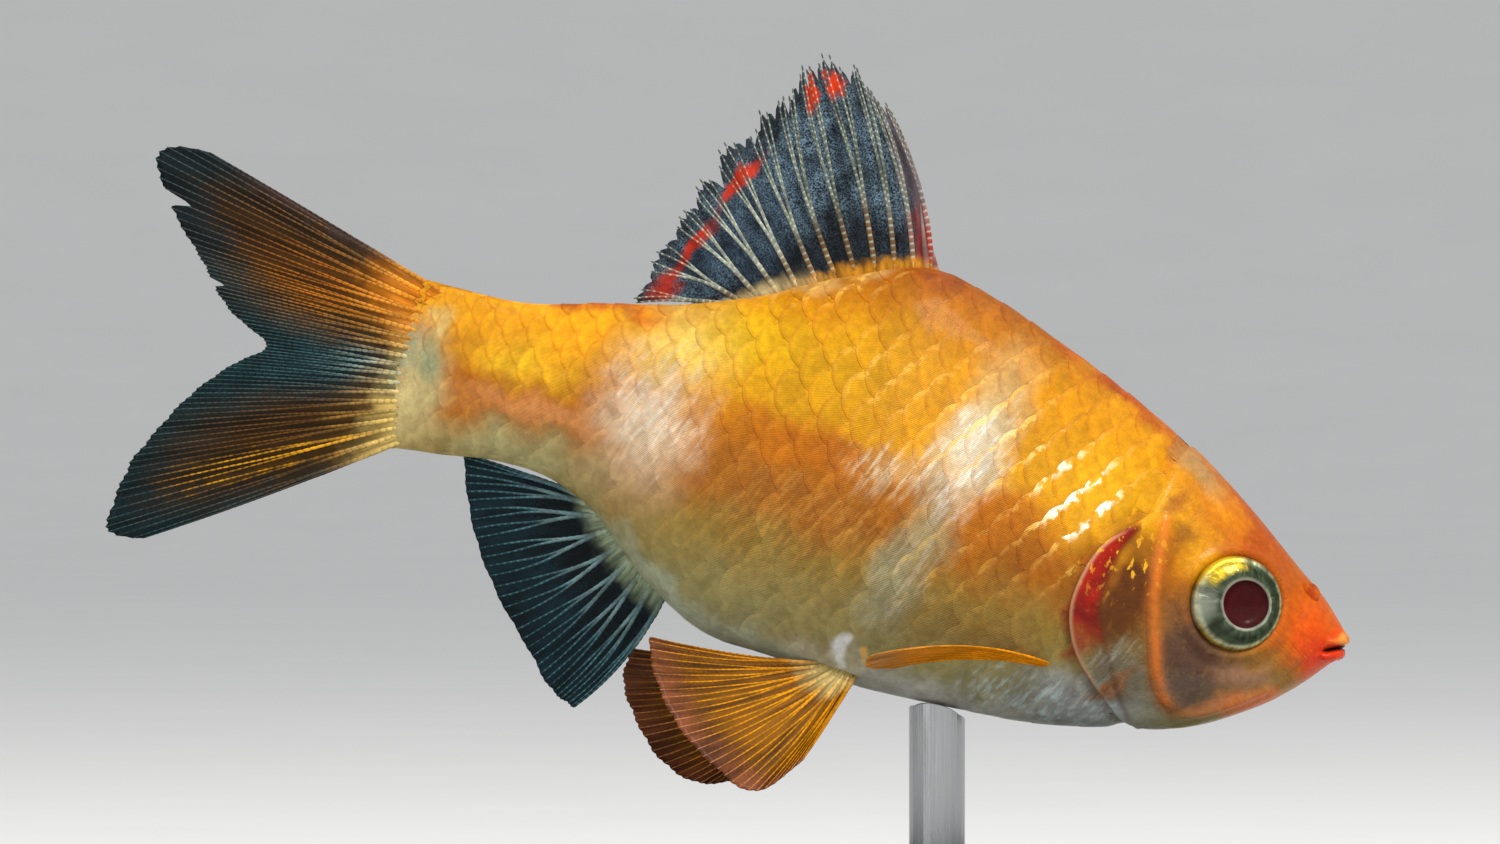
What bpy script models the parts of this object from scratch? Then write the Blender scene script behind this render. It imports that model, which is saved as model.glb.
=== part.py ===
"""Tiger barb, golden colour form: a still, life-size fish held over a flat stand.

The fish is modelled level in its own frame, in millimetres: x runs forward to the snout, y to the
fish's left and z up. An empty then tips it nose down and lifts it over the stand. The stand's base
lies on the ground at z = 0.
"""

import bisect
import math
import random

import bmesh
import bpy
import numpy as np
from mathutils import Matrix, Vector

MM = 0.001
GAP = 0.3
"""Clear space between neighbouring pieces."""

NOSE_DOWN = 16.0
"""Pitch of the fish in degrees."""
FISH_AT = (8.5, 0.0, 21.73)
"""Where the fish's own origin, mid body, sits over the ground."""

SMOOTH_UNDER = 35.0
"""Faces that meet at less than this angle, in degrees, are shaded smooth."""

# Body: heights of the back and belly and half widths, each at its distance along the fish
BACK = (
    (-25.6, 4.3), (-23.0, 4.25), (-21.0, 4.4), (-17.0, 5.5), (-13.0, 6.6), (-10.0, 7.85), (-6.0, 10.0),
    (-1.5, 11.7), (1.5, 11.2), (5.0, 10.1), (9.0, 8.6), (13.0, 6.8), (17.0, 4.4), (20.0, 2.3),
    (22.0, 0.9), (23.1, -0.15),
)
BELLY = (
    (-25.6, -4.8), (-23.0, -4.3), (-20.0, -3.8), (-17.0, -3.95), (-15.0, -4.7), (-11.5, -7.3),
    (-8.0, -9.1), (-4.0, -9.4), (0.0, -9.65), (5.0, -9.4), (10.0, -8.9), (14.0, -7.9), (17.0, -6.9),
    (19.0, -5.7), (21.0, -4.1), (22.2, -2.8), (23.1, -1.6),
)
HALF_WIDTH = (
    (-25.6, 0.5), (-23.0, 1.2), (-19.0, 1.7), (-15.0, 2.3), (-8.0, 3.6), (0.0, 4.5), (6.0, 4.65),
    (12.0, 4.4), (17.0, 3.6), (20.0, 2.7), (22.0, 1.75), (23.1, 0.7),
)
WIDEST_LEVEL = 0.48
"""How far up from belly to back the fish is widest."""
BACK_PINCH, BELLY_PINCH = 1.2, 1.0
"""Powers that draw a section in to a ridge. 1 is round."""
RING_POINTS = 36
TRUNK_STEP, HEAD_STEP = 1.9, 0.85
"""Spacing of the rings of points along the trunk and the head."""
HEAD_STARTS = 9.0

# Where the fish is divided
GILL_SLIT = (
    (13.6, 11.0), (12.5, 6.0), (11.6, 2.6), (10.25, 0.75), (9.6, -1.5), (9.6, -3.2), (10.5, -5.0),
    (12.0, -6.5), (13.3, -8.2), (14.3, -11.0),
)
TAIL_CUT = -17.6
GILL_COVER = (
    (8.0, 2.3), (12.4, 2.6), (13.2, 1.0), (13.4, -1.0), (13.8, -3.0), (14.5, -5.0), (15.2, -6.3),
    (14.4, -7.4), (12.6, -7.6), (8.0, -6.5),
)
COVER_THICKNESS = 0.8
COVER_INNER = 1.0
"""Nearest that a cover's block comes to the middle plane."""
REACH = 40.0
"""Half size of the blocks that divide the fish."""

# Eyes
EYE_AT = (17.35, -0.35)
EYE_RADIUS, EYE_DEPTH = 2.45, 1.15
EYE_SUNK = 0.45
"""How far inside the skin the middle of an eye lies."""
EYE_TURN, EYE_TILT = 16.0, 6.0
"""Degrees by which an eye looks forward and up."""

# Mouth and nostrils
MOUTH_FRONT, MOUTH_CORNER = (23.2, -0.95), (21.3, -2.0)
MOUTH_OPEN, MOUTH_HALF_WIDTH = 0.3, 2.05
LIP_RADIUS, LIP_END_RADIUS = 0.42, 0.23
LIP_LIFT = 0.46
"""How far each lip lies above or below the line of the mouth."""
LIP_ROUNDNESS = 0.8
NOSTRIL_AT = (20.9, 1.25)
NOSTRIL_RADII = (0.55, 0.4, 0.45)
NOSTRIL_RIM, NOSTRIL_OPEN = 0.3, 0.6
"""How far out the pit lies, and its size as a part of the swelling's."""

# Fins: rows of (place along the root, lean, curl, length, spread). Lean is the direction in which a
# ray leaves the body, in degrees up from straight ahead, and curl is how far it turns by its tip.
# Spread is how far it stands out sideways.
DORSAL_ROOT = (-1.7, -11.4)
DORSAL_RAYS = (
    (0.0, 107, 27, 8.5, 0), (0.1, 108, 23, 9.3, 0), (0.2, 110, 13, 10.3, 0), (0.31, 116, 8, 11.2, 1),
    (0.42, 128, -16, 10.5, 2), (0.53, 130, -10, 8.9, 2), (0.64, 133, 3, 7.7, 1), (0.74, 141, 4, 6.4, 0),
    (0.84, 149, 5, 5.4, -1), (0.92, 165, 13, 4.6, -1), (1.0, 188, 15, 4.3, 0),
)
DORSAL_COUNT = 12
ANAL_ROOT = (-10.1, -15.7)
ANAL_RAYS = (
    (0.0, 262, -30, 7.2, 0), (0.2, 254, -18, 7.3, 1), (0.36, 244, -16, 6.8, 2),
    (0.55, 228, -22, 6.6, 1), (0.75, 196, 12, 6.3, 0), (0.88, 182, 18, 6.1, -1), (1.0, 178, 10, 5.9, 0),
)
ANAL_COUNT = 9
CAUDAL_ROOT = ((-25.0, 3.7), (-25.0, -4.2))
CAUDAL_RAYS = (
    (0.0, 164, 1, 13.5, 4), (0.05, 169, 0, 15.4, 4), (0.1, 173, 0, 14.6, 4), (0.18, 178, 0, 12.7, 3),
    (0.28, 181, 0, 11.3, 2), (0.39, 184, 1, 9.7, 1), (0.5, 187, 2, 7.7, 0), (0.6, 190, 2, 9.3, -1),
    (0.7, 195, 2, 11.2, -2), (0.8, 202, 1, 13.0, -3), (0.9, 209, 0, 14.4, -3), (0.95, 214, -2, 15.0, -3),
    (1.0, 219, -4, 14.1, -3),
)
CAUDAL_COUNT = 19
PELVIC_ROOT = ((0.2, -9.2), (-1.5, -9.1))
PELVIC_RIGHT = (
    (0.0, 256, -6, 8.0, 52), (0.2, 254, -14, 9.8, 41), (0.4, 240, -18, 10.2, 39),
    (0.6, 224, -18, 10.2, 35), (0.8, 208, -14, 9.8, 29), (1.0, 192, -10, 9.2, 19),
)
PELVIC_LEFT = (
    (0.0, 246, -14, 8.6, 24), (0.2, 240, -14, 10.0, 20), (0.4, 230, -15, 10.7, 17),
    (0.6, 218, -15, 10.8, 15), (0.8, 207, -12, 10.6, 13), (1.0, 197, -10, 9.8, 12),
)
PELVIC_COUNT = 8
PECTORAL_ROOT = ((9.5, -5.5), (9.2, -6.3))
PECTORAL_RAYS = (
    (0.0, 192, -4, 8.0, 48), (0.25, 192, -4, 10.2, 38), (0.5, 191, -3, 10.3, 30),
    (0.75, 190, -2, 8.8, 22), (1.0, 189, -2, 6.6, 14),
)
PECTORAL_COUNT = 8
PELVIC_INWARD, PECTORAL_INWARD = (0.3, -0.35, 0.9), (0.75, -0.65, 0.1)
"""Ways into the body from the roots of the left fins."""
ROOT_SUNK = 1.3
"""How deep a fin starts inside the body, before it is trimmed to lie on it."""
MEMBRANE, MARGIN = 0.5, 0.3
"""Thickness of a fin's skin, and at its free edge."""
RAY_ROOT, RAY_END = 0.9, 0.6
"""Thickness of a ray where it leaves the body, and just before its tip."""
RAY_WIDTH = 0.24
"""Half width of a ray's ridge, as a part of the space between rays."""
NOTCH, RAGGED = 0.035, 0.02
"""How far the skin falls short of the ray tips, and how unlike the rays are, as parts of a ray."""
SEED = 4

# Stand
BASE_SIZE = (46.0, 24.0, 4.0)
BASE_AT = 6.0
BASE_CORNER, BASE_EDGE = 5.0, 0.5
ROD_AT, ROD_RADIUS, ROD_TOP = 10.3, 1.4, 18.0


def material(name, colour, roughness, metallic=0.0):
    """Plain surface of one colour."""
    made = bpy.data.materials.new(name)
    made.use_nodes = True
    shader = made.node_tree.nodes["Principled BSDF"]
    shader.inputs["Base Color"].default_value = (*colour, 1.0)
    shader.inputs["Roughness"].default_value = roughness
    shader.inputs["Metallic"].default_value = metallic
    made.diffuse_color = (*colour, 1.0)
    return made


def smooth(x, stations):
    """Value at x of a smooth curve through the stations, whose first values rise."""
    places = [station[0] for station in stations]
    values = [station[1] for station in stations]
    slopes = np.gradient(values, places)
    i = min(max(bisect.bisect_right(places, x) - 1, 0), len(places) - 2)
    span = places[i + 1] - places[i]
    t = min(max((x - places[i]) / span, 0.0), 1.0)
    start = values[i] * (1 + 2 * t) * (1 - t) ** 2 + slopes[i] * span * t * (1 - t) ** 2
    end = values[i + 1] * t * t * (3 - 2 * t) - slopes[i + 1] * span * t * t * (1 - t)
    return start + end


def smooth_path(points, steps):
    """Points of a smooth curve through the given ones, with so many steps between each two."""
    places = range(len(points))
    axes = [tuple(zip(places, axis)) for axis in zip(*points)]
    count = (len(points) - 1) * steps
    return [tuple(smooth(k / steps, axis) for axis in axes) for k in range(count + 1)]


def mesh_object(name, bm, collection, surface=None, parent=None):
    """Object from a mesh held in millimetres, closed and with its faces out."""
    bmesh.ops.recalc_face_normals(bm, faces=bm.faces)
    if bm.calc_volume(signed=True) < 0:
        bmesh.ops.reverse_faces(bm, faces=bm.faces)
    bmesh.ops.scale(bm, vec=(MM, MM, MM), verts=bm.verts)
    mesh = bpy.data.meshes.new(name)
    bm.to_mesh(mesh)
    bm.free()
    if surface:
        mesh.materials.append(surface)
    made = bpy.data.objects.new(name, mesh)
    collection.objects.link(made)
    made.parent = parent
    if collection.hide_render:
        made.hide_render = True
        made.display_type = "WIRE"
    return made


def boolean(target, others, operation, solver="EXACT"):
    """Joins the others to the target or cuts them from it, and keeps the largest closed surface."""
    group = bpy.data.collections.new("joined")
    for other in others:
        group.objects.link(other)
    modifier = target.modifiers.new(operation.title(), "BOOLEAN")
    modifier.operand_type = "COLLECTION"
    modifier.collection = group
    modifier.operation = operation
    modifier.solver = solver
    bpy.context.view_layer.update()
    graph = bpy.context.evaluated_depsgraph_get()
    mesh = bpy.data.meshes.new_from_object(target.evaluated_get(graph))
    target.modifiers.remove(modifier)
    bpy.data.collections.remove(group)
    old = target.data
    target.data = mesh
    bpy.data.meshes.remove(old)
    mesh.name = target.name
    keep_largest(mesh)


def keep_largest(mesh):
    """Drops every closed surface of the mesh but the largest."""
    bm = bmesh.new()
    bm.from_mesh(mesh)
    left = set(bm.faces)
    pieces = []
    while left:
        piece = {left.pop()}
        edge_of = list(piece)
        while edge_of:
            face = edge_of.pop()
            near = {other for edge in face.edges for other in edge.link_faces} & left
            left -= near
            piece |= near
            edge_of.extend(near)
        pieces.append(piece)
    pieces.sort(key=lambda piece: sum(face.calc_area() for face in piece))
    loose = [face for piece in pieces[:-1] for face in piece]
    bmesh.ops.delete(bm, geom=loose, context="FACES")
    bm.to_mesh(mesh)
    bm.free()


def remove(*objects):
    for unwanted in objects:
        bpy.data.objects.remove(unwanted)


def section(x, grow):
    """Back, belly and half width at x, each moved out by grow."""
    return smooth(x, BACK) + grow, smooth(x, BELLY) - grow, smooth(x, HALF_WIDTH) + grow


def body_ring(x, grow):
    """Points round the body at x."""
    back, belly, width = section(x, grow)
    level = belly + WIDEST_LEVEL * (back - belly)
    ring = []
    for k in range(RING_POINTS):
        turn = 2 * math.pi * k / RING_POINTS
        side, up = math.sin(turn), math.cos(turn)
        pinch, height = (BACK_PINCH, back - level) if up > 0 else (BELLY_PINCH, level - belly)
        ring.append((math.copysign(width * abs(side) ** pinch, side), level + up * height))
    return ring


def flank(x, z):
    """Half width of the body at x and height z."""
    back, belly, width = section(x, 0.0)
    level = belly + WIDEST_LEVEL * (back - belly)
    pinch, height = (BACK_PINCH, back - level) if z > level else (BELLY_PINCH, level - belly)
    up = min(abs(z - level) / height, 1.0)
    return width * (1 - up * up) ** (pinch / 2)


def body(name, grow, collection, parent):
    """The whole fish without fins, as one loft, moved out by grow."""
    first, last = BACK[0][0], BACK[-1][0]
    trunk = np.linspace(first, HEAD_STARTS, round((HEAD_STARTS - first) / TRUNK_STEP) + 1)
    head = np.linspace(HEAD_STARTS, last, round((last - HEAD_STARTS) / HEAD_STEP) + 1)
    places = [*trunk, *head[1:]]
    bm = bmesh.new()
    rings = []
    for x in places:
        end = -grow if x == first else grow if x == last else 0.0
        rings.append([bm.verts.new((x + end, y, z)) for y, z in body_ring(x, grow)])
    for one, other in zip(rings, rings[1:]):
        for k in range(RING_POINTS):
            after = (k + 1) % RING_POINTS
            bm.faces.new((one[k], other[k], other[after], one[after]))
    bm.faces.new(rings[0])
    bm.faces.new(rings[-1])
    bmesh.ops.triangulate(bm, faces=bm.faces)
    return mesh_object(name, bm, collection, parent=parent)


def prism(name, outline, near, far, collection, parent):
    """Block with a flat outline in x and z, from near to far in y."""
    bm = bmesh.new()
    face = bm.faces.new([bm.verts.new((x, near, z)) for x, z in outline])
    moved = bmesh.ops.extrude_face_region(bm, geom=[face])["geom"]
    top = [item for item in moved if isinstance(item, bmesh.types.BMVert)]
    bmesh.ops.translate(bm, vec=(0, far - near, 0), verts=top)
    return mesh_object(name, bm, collection, parent=parent)


def offset(path, distance):
    """Path moved sideways by a distance, to the right of the way it runs."""
    points = [Vector(point) for point in path]
    moved = []
    for k, point in enumerate(points):
        along = points[min(k + 1, len(points) - 1)] - points[max(k - 1, 0)]
        along.normalize()
        moved.append(tuple(point + distance * Vector((along.y, -along.x))))
    return moved


def ellipsoid(name, centre, radii, collection, surface=None, parent=None, turn=(0, 0), around=20):
    """Smooth ball with its own radius along each axis, turned about z and then tilted up."""
    yaw, tilt = (math.radians(angle) for angle in turn)
    bm = bmesh.new()
    bmesh.ops.create_uvsphere(bm, u_segments=around, v_segments=around // 2 + 1, radius=1.0)
    bmesh.ops.scale(bm, vec=radii, verts=bm.verts)
    turned = Matrix.Rotation(yaw, 3, "Z") @ Matrix.Rotation(tilt, 3, "X")
    bmesh.ops.rotate(bm, matrix=turned, verts=bm.verts)
    bmesh.ops.translate(bm, vec=centre, verts=bm.verts)
    return mesh_object(name, bm, collection, surface, parent)


def tube(name, path, radii, collection, parent):
    """Bent round bar along the path, with its own radius at each point, made as a mesh."""
    curve = bpy.data.curves.new(name, "CURVE")
    curve.dimensions = "3D"
    curve.bevel_depth = MM
    curve.bevel_resolution = 2
    curve.use_fill_caps = True
    spline = curve.splines.new("POLY")
    spline.points.add(len(path) - 1)
    for point, place, radius in zip(spline.points, path, radii):
        point.co = (*(MM * value for value in place), 1.0)
        point.radius = radius
    guide = bpy.data.objects.new(name, curve)
    collection.objects.link(guide)
    bpy.context.view_layer.update()
    graph = bpy.context.evaluated_depsgraph_get()
    mesh = bpy.data.meshes.new_from_object(guide.evaluated_get(graph))
    bm = bmesh.new()
    bm.from_mesh(mesh)
    bmesh.ops.remove_doubles(bm, verts=bm.verts, dist=1e-7)
    bmesh.ops.scale(bm, vec=(1 / MM, 1 / MM, 1 / MM), verts=bm.verts)
    remove(guide)
    return mesh_object(name, bm, collection, parent=parent)


def ray_point(root, key, t, side):
    """Point at the part t of a ray, which bends evenly from its lean by its curl."""
    lean, curl, length, spread = key
    heading = math.radians(lean + curl * t / 2)
    reach = float(length * t * np.sinc(math.radians(curl) * t / (2 * math.pi)))
    out = math.radians(spread)
    flat = math.cos(out)
    ahead = Vector((math.cos(heading) * flat, side * math.sin(out), math.sin(heading) * flat))
    return Vector(root) + reach * ahead


def fin_columns(count):
    """Places along a fin's root where its sheet has points, with 1 for a ray and 0 for skin."""
    columns = []
    for k in range(count):
        beside = [(k - RAY_WIDTH, 0), (k, 1), (k + RAY_WIDTH, 0)]
        columns += [(at / (count - 1), ray) for at, ray in beside if 0 <= at <= count - 1]
    return columns


def fin(name, plan, side, surface, collection, parent):
    """Thin sheet with a ridge along each ray, starting inside the body."""
    root_at, inward, rays, count, rows = plan
    keys = [[(row[0], row[n]) for row in rays] for n in range(1, 5)]
    sunk = ROOT_SUNK * Vector((inward[0], side * inward[1], inward[2]))
    draw = random.Random(SEED)
    lengths = [1 + RAGGED * draw.uniform(-1, 1) for k in range(count)]

    def place(s, t, shorter=1.0):
        s = min(max(s, 0.0), 1.0)
        lean, curl, length, spread = (smooth(s, axis) for axis in keys)
        return ray_point(root_at(s), (lean, curl, length * shorter, spread), t, side)

    def sheet_at(s, t, ray):
        """Points on the two faces of the sheet."""
        step, clear = 1e-3, max(t, 0.02)
        across = place(s + step, clear) - place(s - step, clear)
        along = place(s, clear + step) - place(s, clear - step)
        thick = RAY_ROOT + (RAY_END - RAY_ROOT) * t if ray else MEMBRANE
        half = (MARGIN if t == 1 else thick) / 2 * across.cross(along).normalized()
        shorter = lengths[round(s * (count - 1))] - (0 if ray else NOTCH)
        here = place(s, t, shorter)
        return here + half, here - half

    bm = bmesh.new()
    front, back = [], []
    for s, ray in fin_columns(count):
        levels = [[point + sunk for point in sheet_at(s, 0.0, ray)]]
        levels += [sheet_at(s, k / (rows - 1), ray) for k in range(rows)]
        front.append([bm.verts.new(level[0]) for level in levels])
        back.append([bm.verts.new(level[1]) for level in levels])
    last = len(front) - 1
    for grid in (front, back):
        for i in range(last):
            for j in range(rows):
                bm.faces.new((grid[i][j], grid[i + 1][j], grid[i + 1][j + 1]))
                bm.faces.new((grid[i][j], grid[i + 1][j + 1], grid[i][j + 1]))
    rim = [(i, 0) for i in range(last)] + [(last, j) for j in range(rows)]
    rim += [(i, rows) for i in range(last, 0, -1)] + [(0, j) for j in range(rows, 0, -1)]
    for (i, j), (m, n) in zip(rim, rim[1:] + rim[:1]):
        bm.faces.new((front[i][j], front[m][n], back[m][n]))
        bm.faces.new((front[i][j], back[m][n], back[i][j]))
    return mesh_object(name, bm, collection, surface, parent)


def between(ends, s):
    return [one + (other - one) * s for one, other in zip(*ends)]


def along_edge(ends, edge):
    """Root of a fin in the middle plane, on the back or the belly."""

    def root(s):
        x = ends[0] + (ends[1] - ends[0]) * s
        return (x, 0.0, smooth(x, edge))

    return root


def across_tail(s):
    x, z = between(CAUDAL_ROOT, s)
    return (x, 0.0, z)


def on_flank(ends, side):
    """Root of a paired fin, on the body's side."""

    def root(s):
        x, z = between(ends, s)
        return (x, side * flank(x, z), z)

    return root


def mouth_arc(lift, count=9):
    """Path of a lip round the front of the mouth, from corner to corner, moved up by lift."""
    path = []
    for k in range(count):
        turn = math.pi * (k / (count - 1) - 0.5)
        ahead = math.cos(turn) ** LIP_ROUNDNESS
        x = MOUTH_CORNER[0] + (MOUTH_FRONT[0] - MOUTH_CORNER[0]) * ahead
        z = MOUTH_CORNER[1] + (MOUTH_FRONT[1] - MOUTH_CORNER[1]) * ahead + lift
        path.append((x, MOUTH_HALF_WIDTH * math.sin(turn), z))
    return path


def add_mouth(head, cutters, pose):
    """Lips round the snout, and the slit between them."""
    lips = []
    thinner = LIP_RADIUS - LIP_END_RADIUS
    for name, lift in (("upper_lip", LIP_LIFT), ("lower_lip", -LIP_LIFT)):
        path = mouth_arc(lift)
        last = len(path) - 1
        radii = [LIP_END_RADIUS + thinner * math.sin(math.pi * k / last) for k in range(len(path))]
        lips.append(tube(name, path, radii, cutters, pose))
    boolean(head, lips, "UNION")
    half = MOUTH_OPEN / 2
    (front_x, front_z), (corner_x, corner_z) = MOUTH_FRONT, MOUTH_CORNER
    beyond = (front_x + (front_x - corner_x), front_z + (front_z - corner_z))
    outline = ((corner_x, corner_z), (beyond[0], beyond[1] - half), (beyond[0], beyond[1] + half))
    slit = prism("mouth_slit", outline, -REACH / 10, REACH / 10, cutters, pose)
    boolean(head, [slit], "DIFFERENCE")
    remove(*lips, slit)


def add_nostrils(head, cutters, pose):
    """A low swelling with a pit in it on each side of the snout."""
    x, z = NOSTRIL_AT
    rims, pits = [], []
    for side in (-1, 1):
        middle = Vector((x, side * flank(x, z), z))
        rims.append(ellipsoid("nostril_rim", middle, NOSTRIL_RADII, cutters, parent=pose, around=12))
        pit = [radius * NOSTRIL_OPEN for radius in NOSTRIL_RADII]
        out = middle + Vector((0, side * NOSTRIL_RIM, NOSTRIL_RIM))
        pits.append(ellipsoid("nostril_pit", out, pit, cutters, parent=pose, around=10))
    boolean(head, rims, "UNION")
    boolean(head, pits, "DIFFERENCE")
    remove(*rims, *pits)


def copy_of(original, name, collection, surface):
    made = bpy.data.objects.new(name, original.data.copy())
    made.data.materials.clear()
    made.data.materials.append(surface)
    collection.objects.link(made)
    made.parent = original.parent
    return made


def add_body(parts, cutters, pose, skin, cover_skin):
    """Head, trunk, tail base and the two gill covers, parted by thin cuts."""
    whole = body("whole_body", 0.0, cutters, pose)
    slit = smooth_path(GILL_SLIT, 3)
    ahead = offset(slit, -GAP / 2)
    behind = offset(slit, GAP / 2)
    far, top, low = REACH, REACH / 2, -REACH / 2
    regions = {
        "head": [*ahead, (far, low), (far, top)],
        "trunk": [*behind, (TAIL_CUT + GAP / 2, low), (TAIL_CUT + GAP / 2, top)],
        "tail_base": [(TAIL_CUT - GAP / 2, low), (TAIL_CUT - GAP / 2, top), (-far, top), (-far, low)],
    }
    made = {}
    for name, outline in regions.items():
        made[name] = copy_of(whole, name, parts, skin)
        region = prism(name + "_region", outline, -REACH / 2, REACH / 2, cutters, pose)
        boolean(made[name], [region], "INTERSECT")
        remove(region)
    outline = smooth_path(GILL_COVER, 2)
    under = body("under_cover", -COVER_THICKNESS, cutters, pose)
    floor = body("cover_pocket_floor", -COVER_THICKNESS - GAP, cutters, pose)
    pockets = []
    for side, name in ((-1, "gill_cover_right"), (1, "gill_cover_left")):
        cover = copy_of(made["head"], name, parts, cover_skin)
        near, beyond = sorted((side * COVER_INNER, side * REACH / 4))
        region = prism(name + "_region", outline, near, beyond, cutters, pose)
        boolean(cover, [region], "INTERSECT")
        boolean(cover, [under], "DIFFERENCE", "MANIFOLD")
        pocket = prism(name + "_pocket", offset(outline, -GAP), near, beyond, cutters, pose)
        boolean(pocket, [floor], "DIFFERENCE")
        pockets.append(pocket)
        remove(region)
    boolean(made["head"], pockets, "DIFFERENCE")
    remove(whole, under, floor, *pockets)
    return made["head"]


def add_eyes(parts, cutters, pose, head, surface):
    """Both eyes, turned with the skin round them, and their sockets."""
    x, z = EYE_AT
    for side, name in ((-1, "eye_right"), (1, "eye_left")):
        turn = (-side * EYE_TURN, side * EYE_TILT)
        centre = (x, side * (flank(x, z) - EYE_SUNK), z)
        radii = (EYE_RADIUS, EYE_DEPTH, EYE_RADIUS)
        ellipsoid(name, centre, radii, parts, surface, pose, turn)
        room = [radius + GAP for radius in radii]
        socket = ellipsoid(name + "_socket", centre, room, cutters, parent=pose, turn=turn)
        boolean(head, [socket], "DIFFERENCE")
        remove(socket)


def add_fins(parts, pose, inflated, surfaces):
    """Each fin as a sheet sunk in the body, then trimmed to lie on it."""
    dark, warm = surfaces
    dorsal = (along_edge(DORSAL_ROOT, BACK), (0, 0, -1), DORSAL_RAYS, DORSAL_COUNT, 8)
    anal = (along_edge(ANAL_ROOT, BELLY), (0, 0, 1), ANAL_RAYS, ANAL_COUNT, 7)
    caudal = (across_tail, (1, 0, 0), CAUDAL_RAYS, CAUDAL_COUNT, 7)
    middle = (("dorsal_fin", dorsal), ("anal_fin", anal), ("caudal_fin", caudal))
    made = [fin(name, plan, 1, dark, parts, pose) for name, plan in middle]
    for side, name, pelvic_rays in ((-1, "right", PELVIC_RIGHT), (1, "left", PELVIC_LEFT)):
        pelvic = (on_flank(PELVIC_ROOT, side), PELVIC_INWARD, pelvic_rays, PELVIC_COUNT, 6)
        pectoral = (on_flank(PECTORAL_ROOT, side), PECTORAL_INWARD, PECTORAL_RAYS, PECTORAL_COUNT, 6)
        made.append(fin("pelvic_fin_" + name, pelvic, side, warm, parts, pose))
        made.append(fin("pectoral_fin_" + name, pectoral, side, warm, parts, pose))
    for each in made:
        boolean(each, [inflated], "DIFFERENCE", "MANIFOLD")


def add_stand(parts, inflated, acrylic, steel):
    """A flat base with rounded corners and one rod up to the belly."""
    length, width, height = BASE_SIZE
    bm = bmesh.new()
    bmesh.ops.create_cube(bm, size=1.0)
    bmesh.ops.scale(bm, vec=BASE_SIZE, verts=bm.verts)
    bmesh.ops.translate(bm, vec=(BASE_AT, 0, height / 2), verts=bm.verts)
    upright = [edge for edge in bm.edges if abs(edge.verts[0].co.z - edge.verts[1].co.z) > height / 2]
    bmesh.ops.bevel(bm, geom=upright, offset=BASE_CORNER, segments=8, profile=0.5, affect="EDGES")
    upper = [edge for edge in bm.edges if all(vert.co.z > height - 0.01 for vert in edge.verts)]
    bmesh.ops.bevel(bm, geom=upper, offset=BASE_EDGE, segments=2, profile=0.5, affect="EDGES")
    mesh_object("stand_base", bm, parts, acrylic)
    bm = bmesh.new()
    foot = height + GAP
    bmesh.ops.create_cone(
        bm, cap_ends=True, segments=24, radius1=ROD_RADIUS, radius2=ROD_RADIUS, depth=ROD_TOP - foot
    )
    bmesh.ops.translate(bm, vec=(ROD_AT, 0, (ROD_TOP + foot) / 2), verts=bm.verts)
    rod = mesh_object("stand_rod", bm, parts, steel)
    boolean(rod, [inflated], "DIFFERENCE")


def main():
    for old in list(bpy.data.objects):
        bpy.data.objects.remove(old)
    parts = bpy.data.collections.new("tiger_barb")
    cutters = bpy.data.collections.new("cutters")
    cutters.hide_render = True
    for collection in (parts, cutters):
        bpy.context.scene.collection.children.link(collection)
    pose = bpy.data.objects.new("fish_pose", None)
    pose.location = [MM * value for value in FISH_AT]
    pose.rotation_euler = (0, math.radians(NOSE_DOWN), 0)
    parts.objects.link(pose)

    skin = material("skin", (0.75, 0.34, 0.04), 0.4)
    cover_skin = material("gill_cover", (0.5, 0.16, 0.04), 0.35)
    eye = material("eye", (0.18, 0.2, 0.12), 0.08)
    dark = material("dark_fin", (0.02, 0.05, 0.07), 0.45)
    warm = material("warm_fin", (0.6, 0.25, 0.02), 0.45)
    acrylic = material("acrylic", (0.8, 0.84, 0.85), 0.1)
    steel = material("steel", (0.6, 0.6, 0.6), 0.25, 1.0)

    head = add_body(parts, cutters, pose, skin, cover_skin)
    add_mouth(head, cutters, pose)
    add_nostrils(head, cutters, pose)
    add_eyes(parts, cutters, pose, head, eye)
    inflated = body("body_clearance", GAP, cutters, pose)
    add_fins(parts, pose, inflated, (dark, warm))
    add_stand(parts, inflated, acrylic, steel)
    for part in parts.objects:
        if part.type == "MESH":
            part.data.shade_smooth()
            part.data.set_sharp_from_angle(angle=math.radians(SMOOTH_UNDER))


main()
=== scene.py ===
import math
import random
from collections import namedtuple

import bmesh
import bpy
import numpy as np
from mathutils import Matrix, Vector


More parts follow.
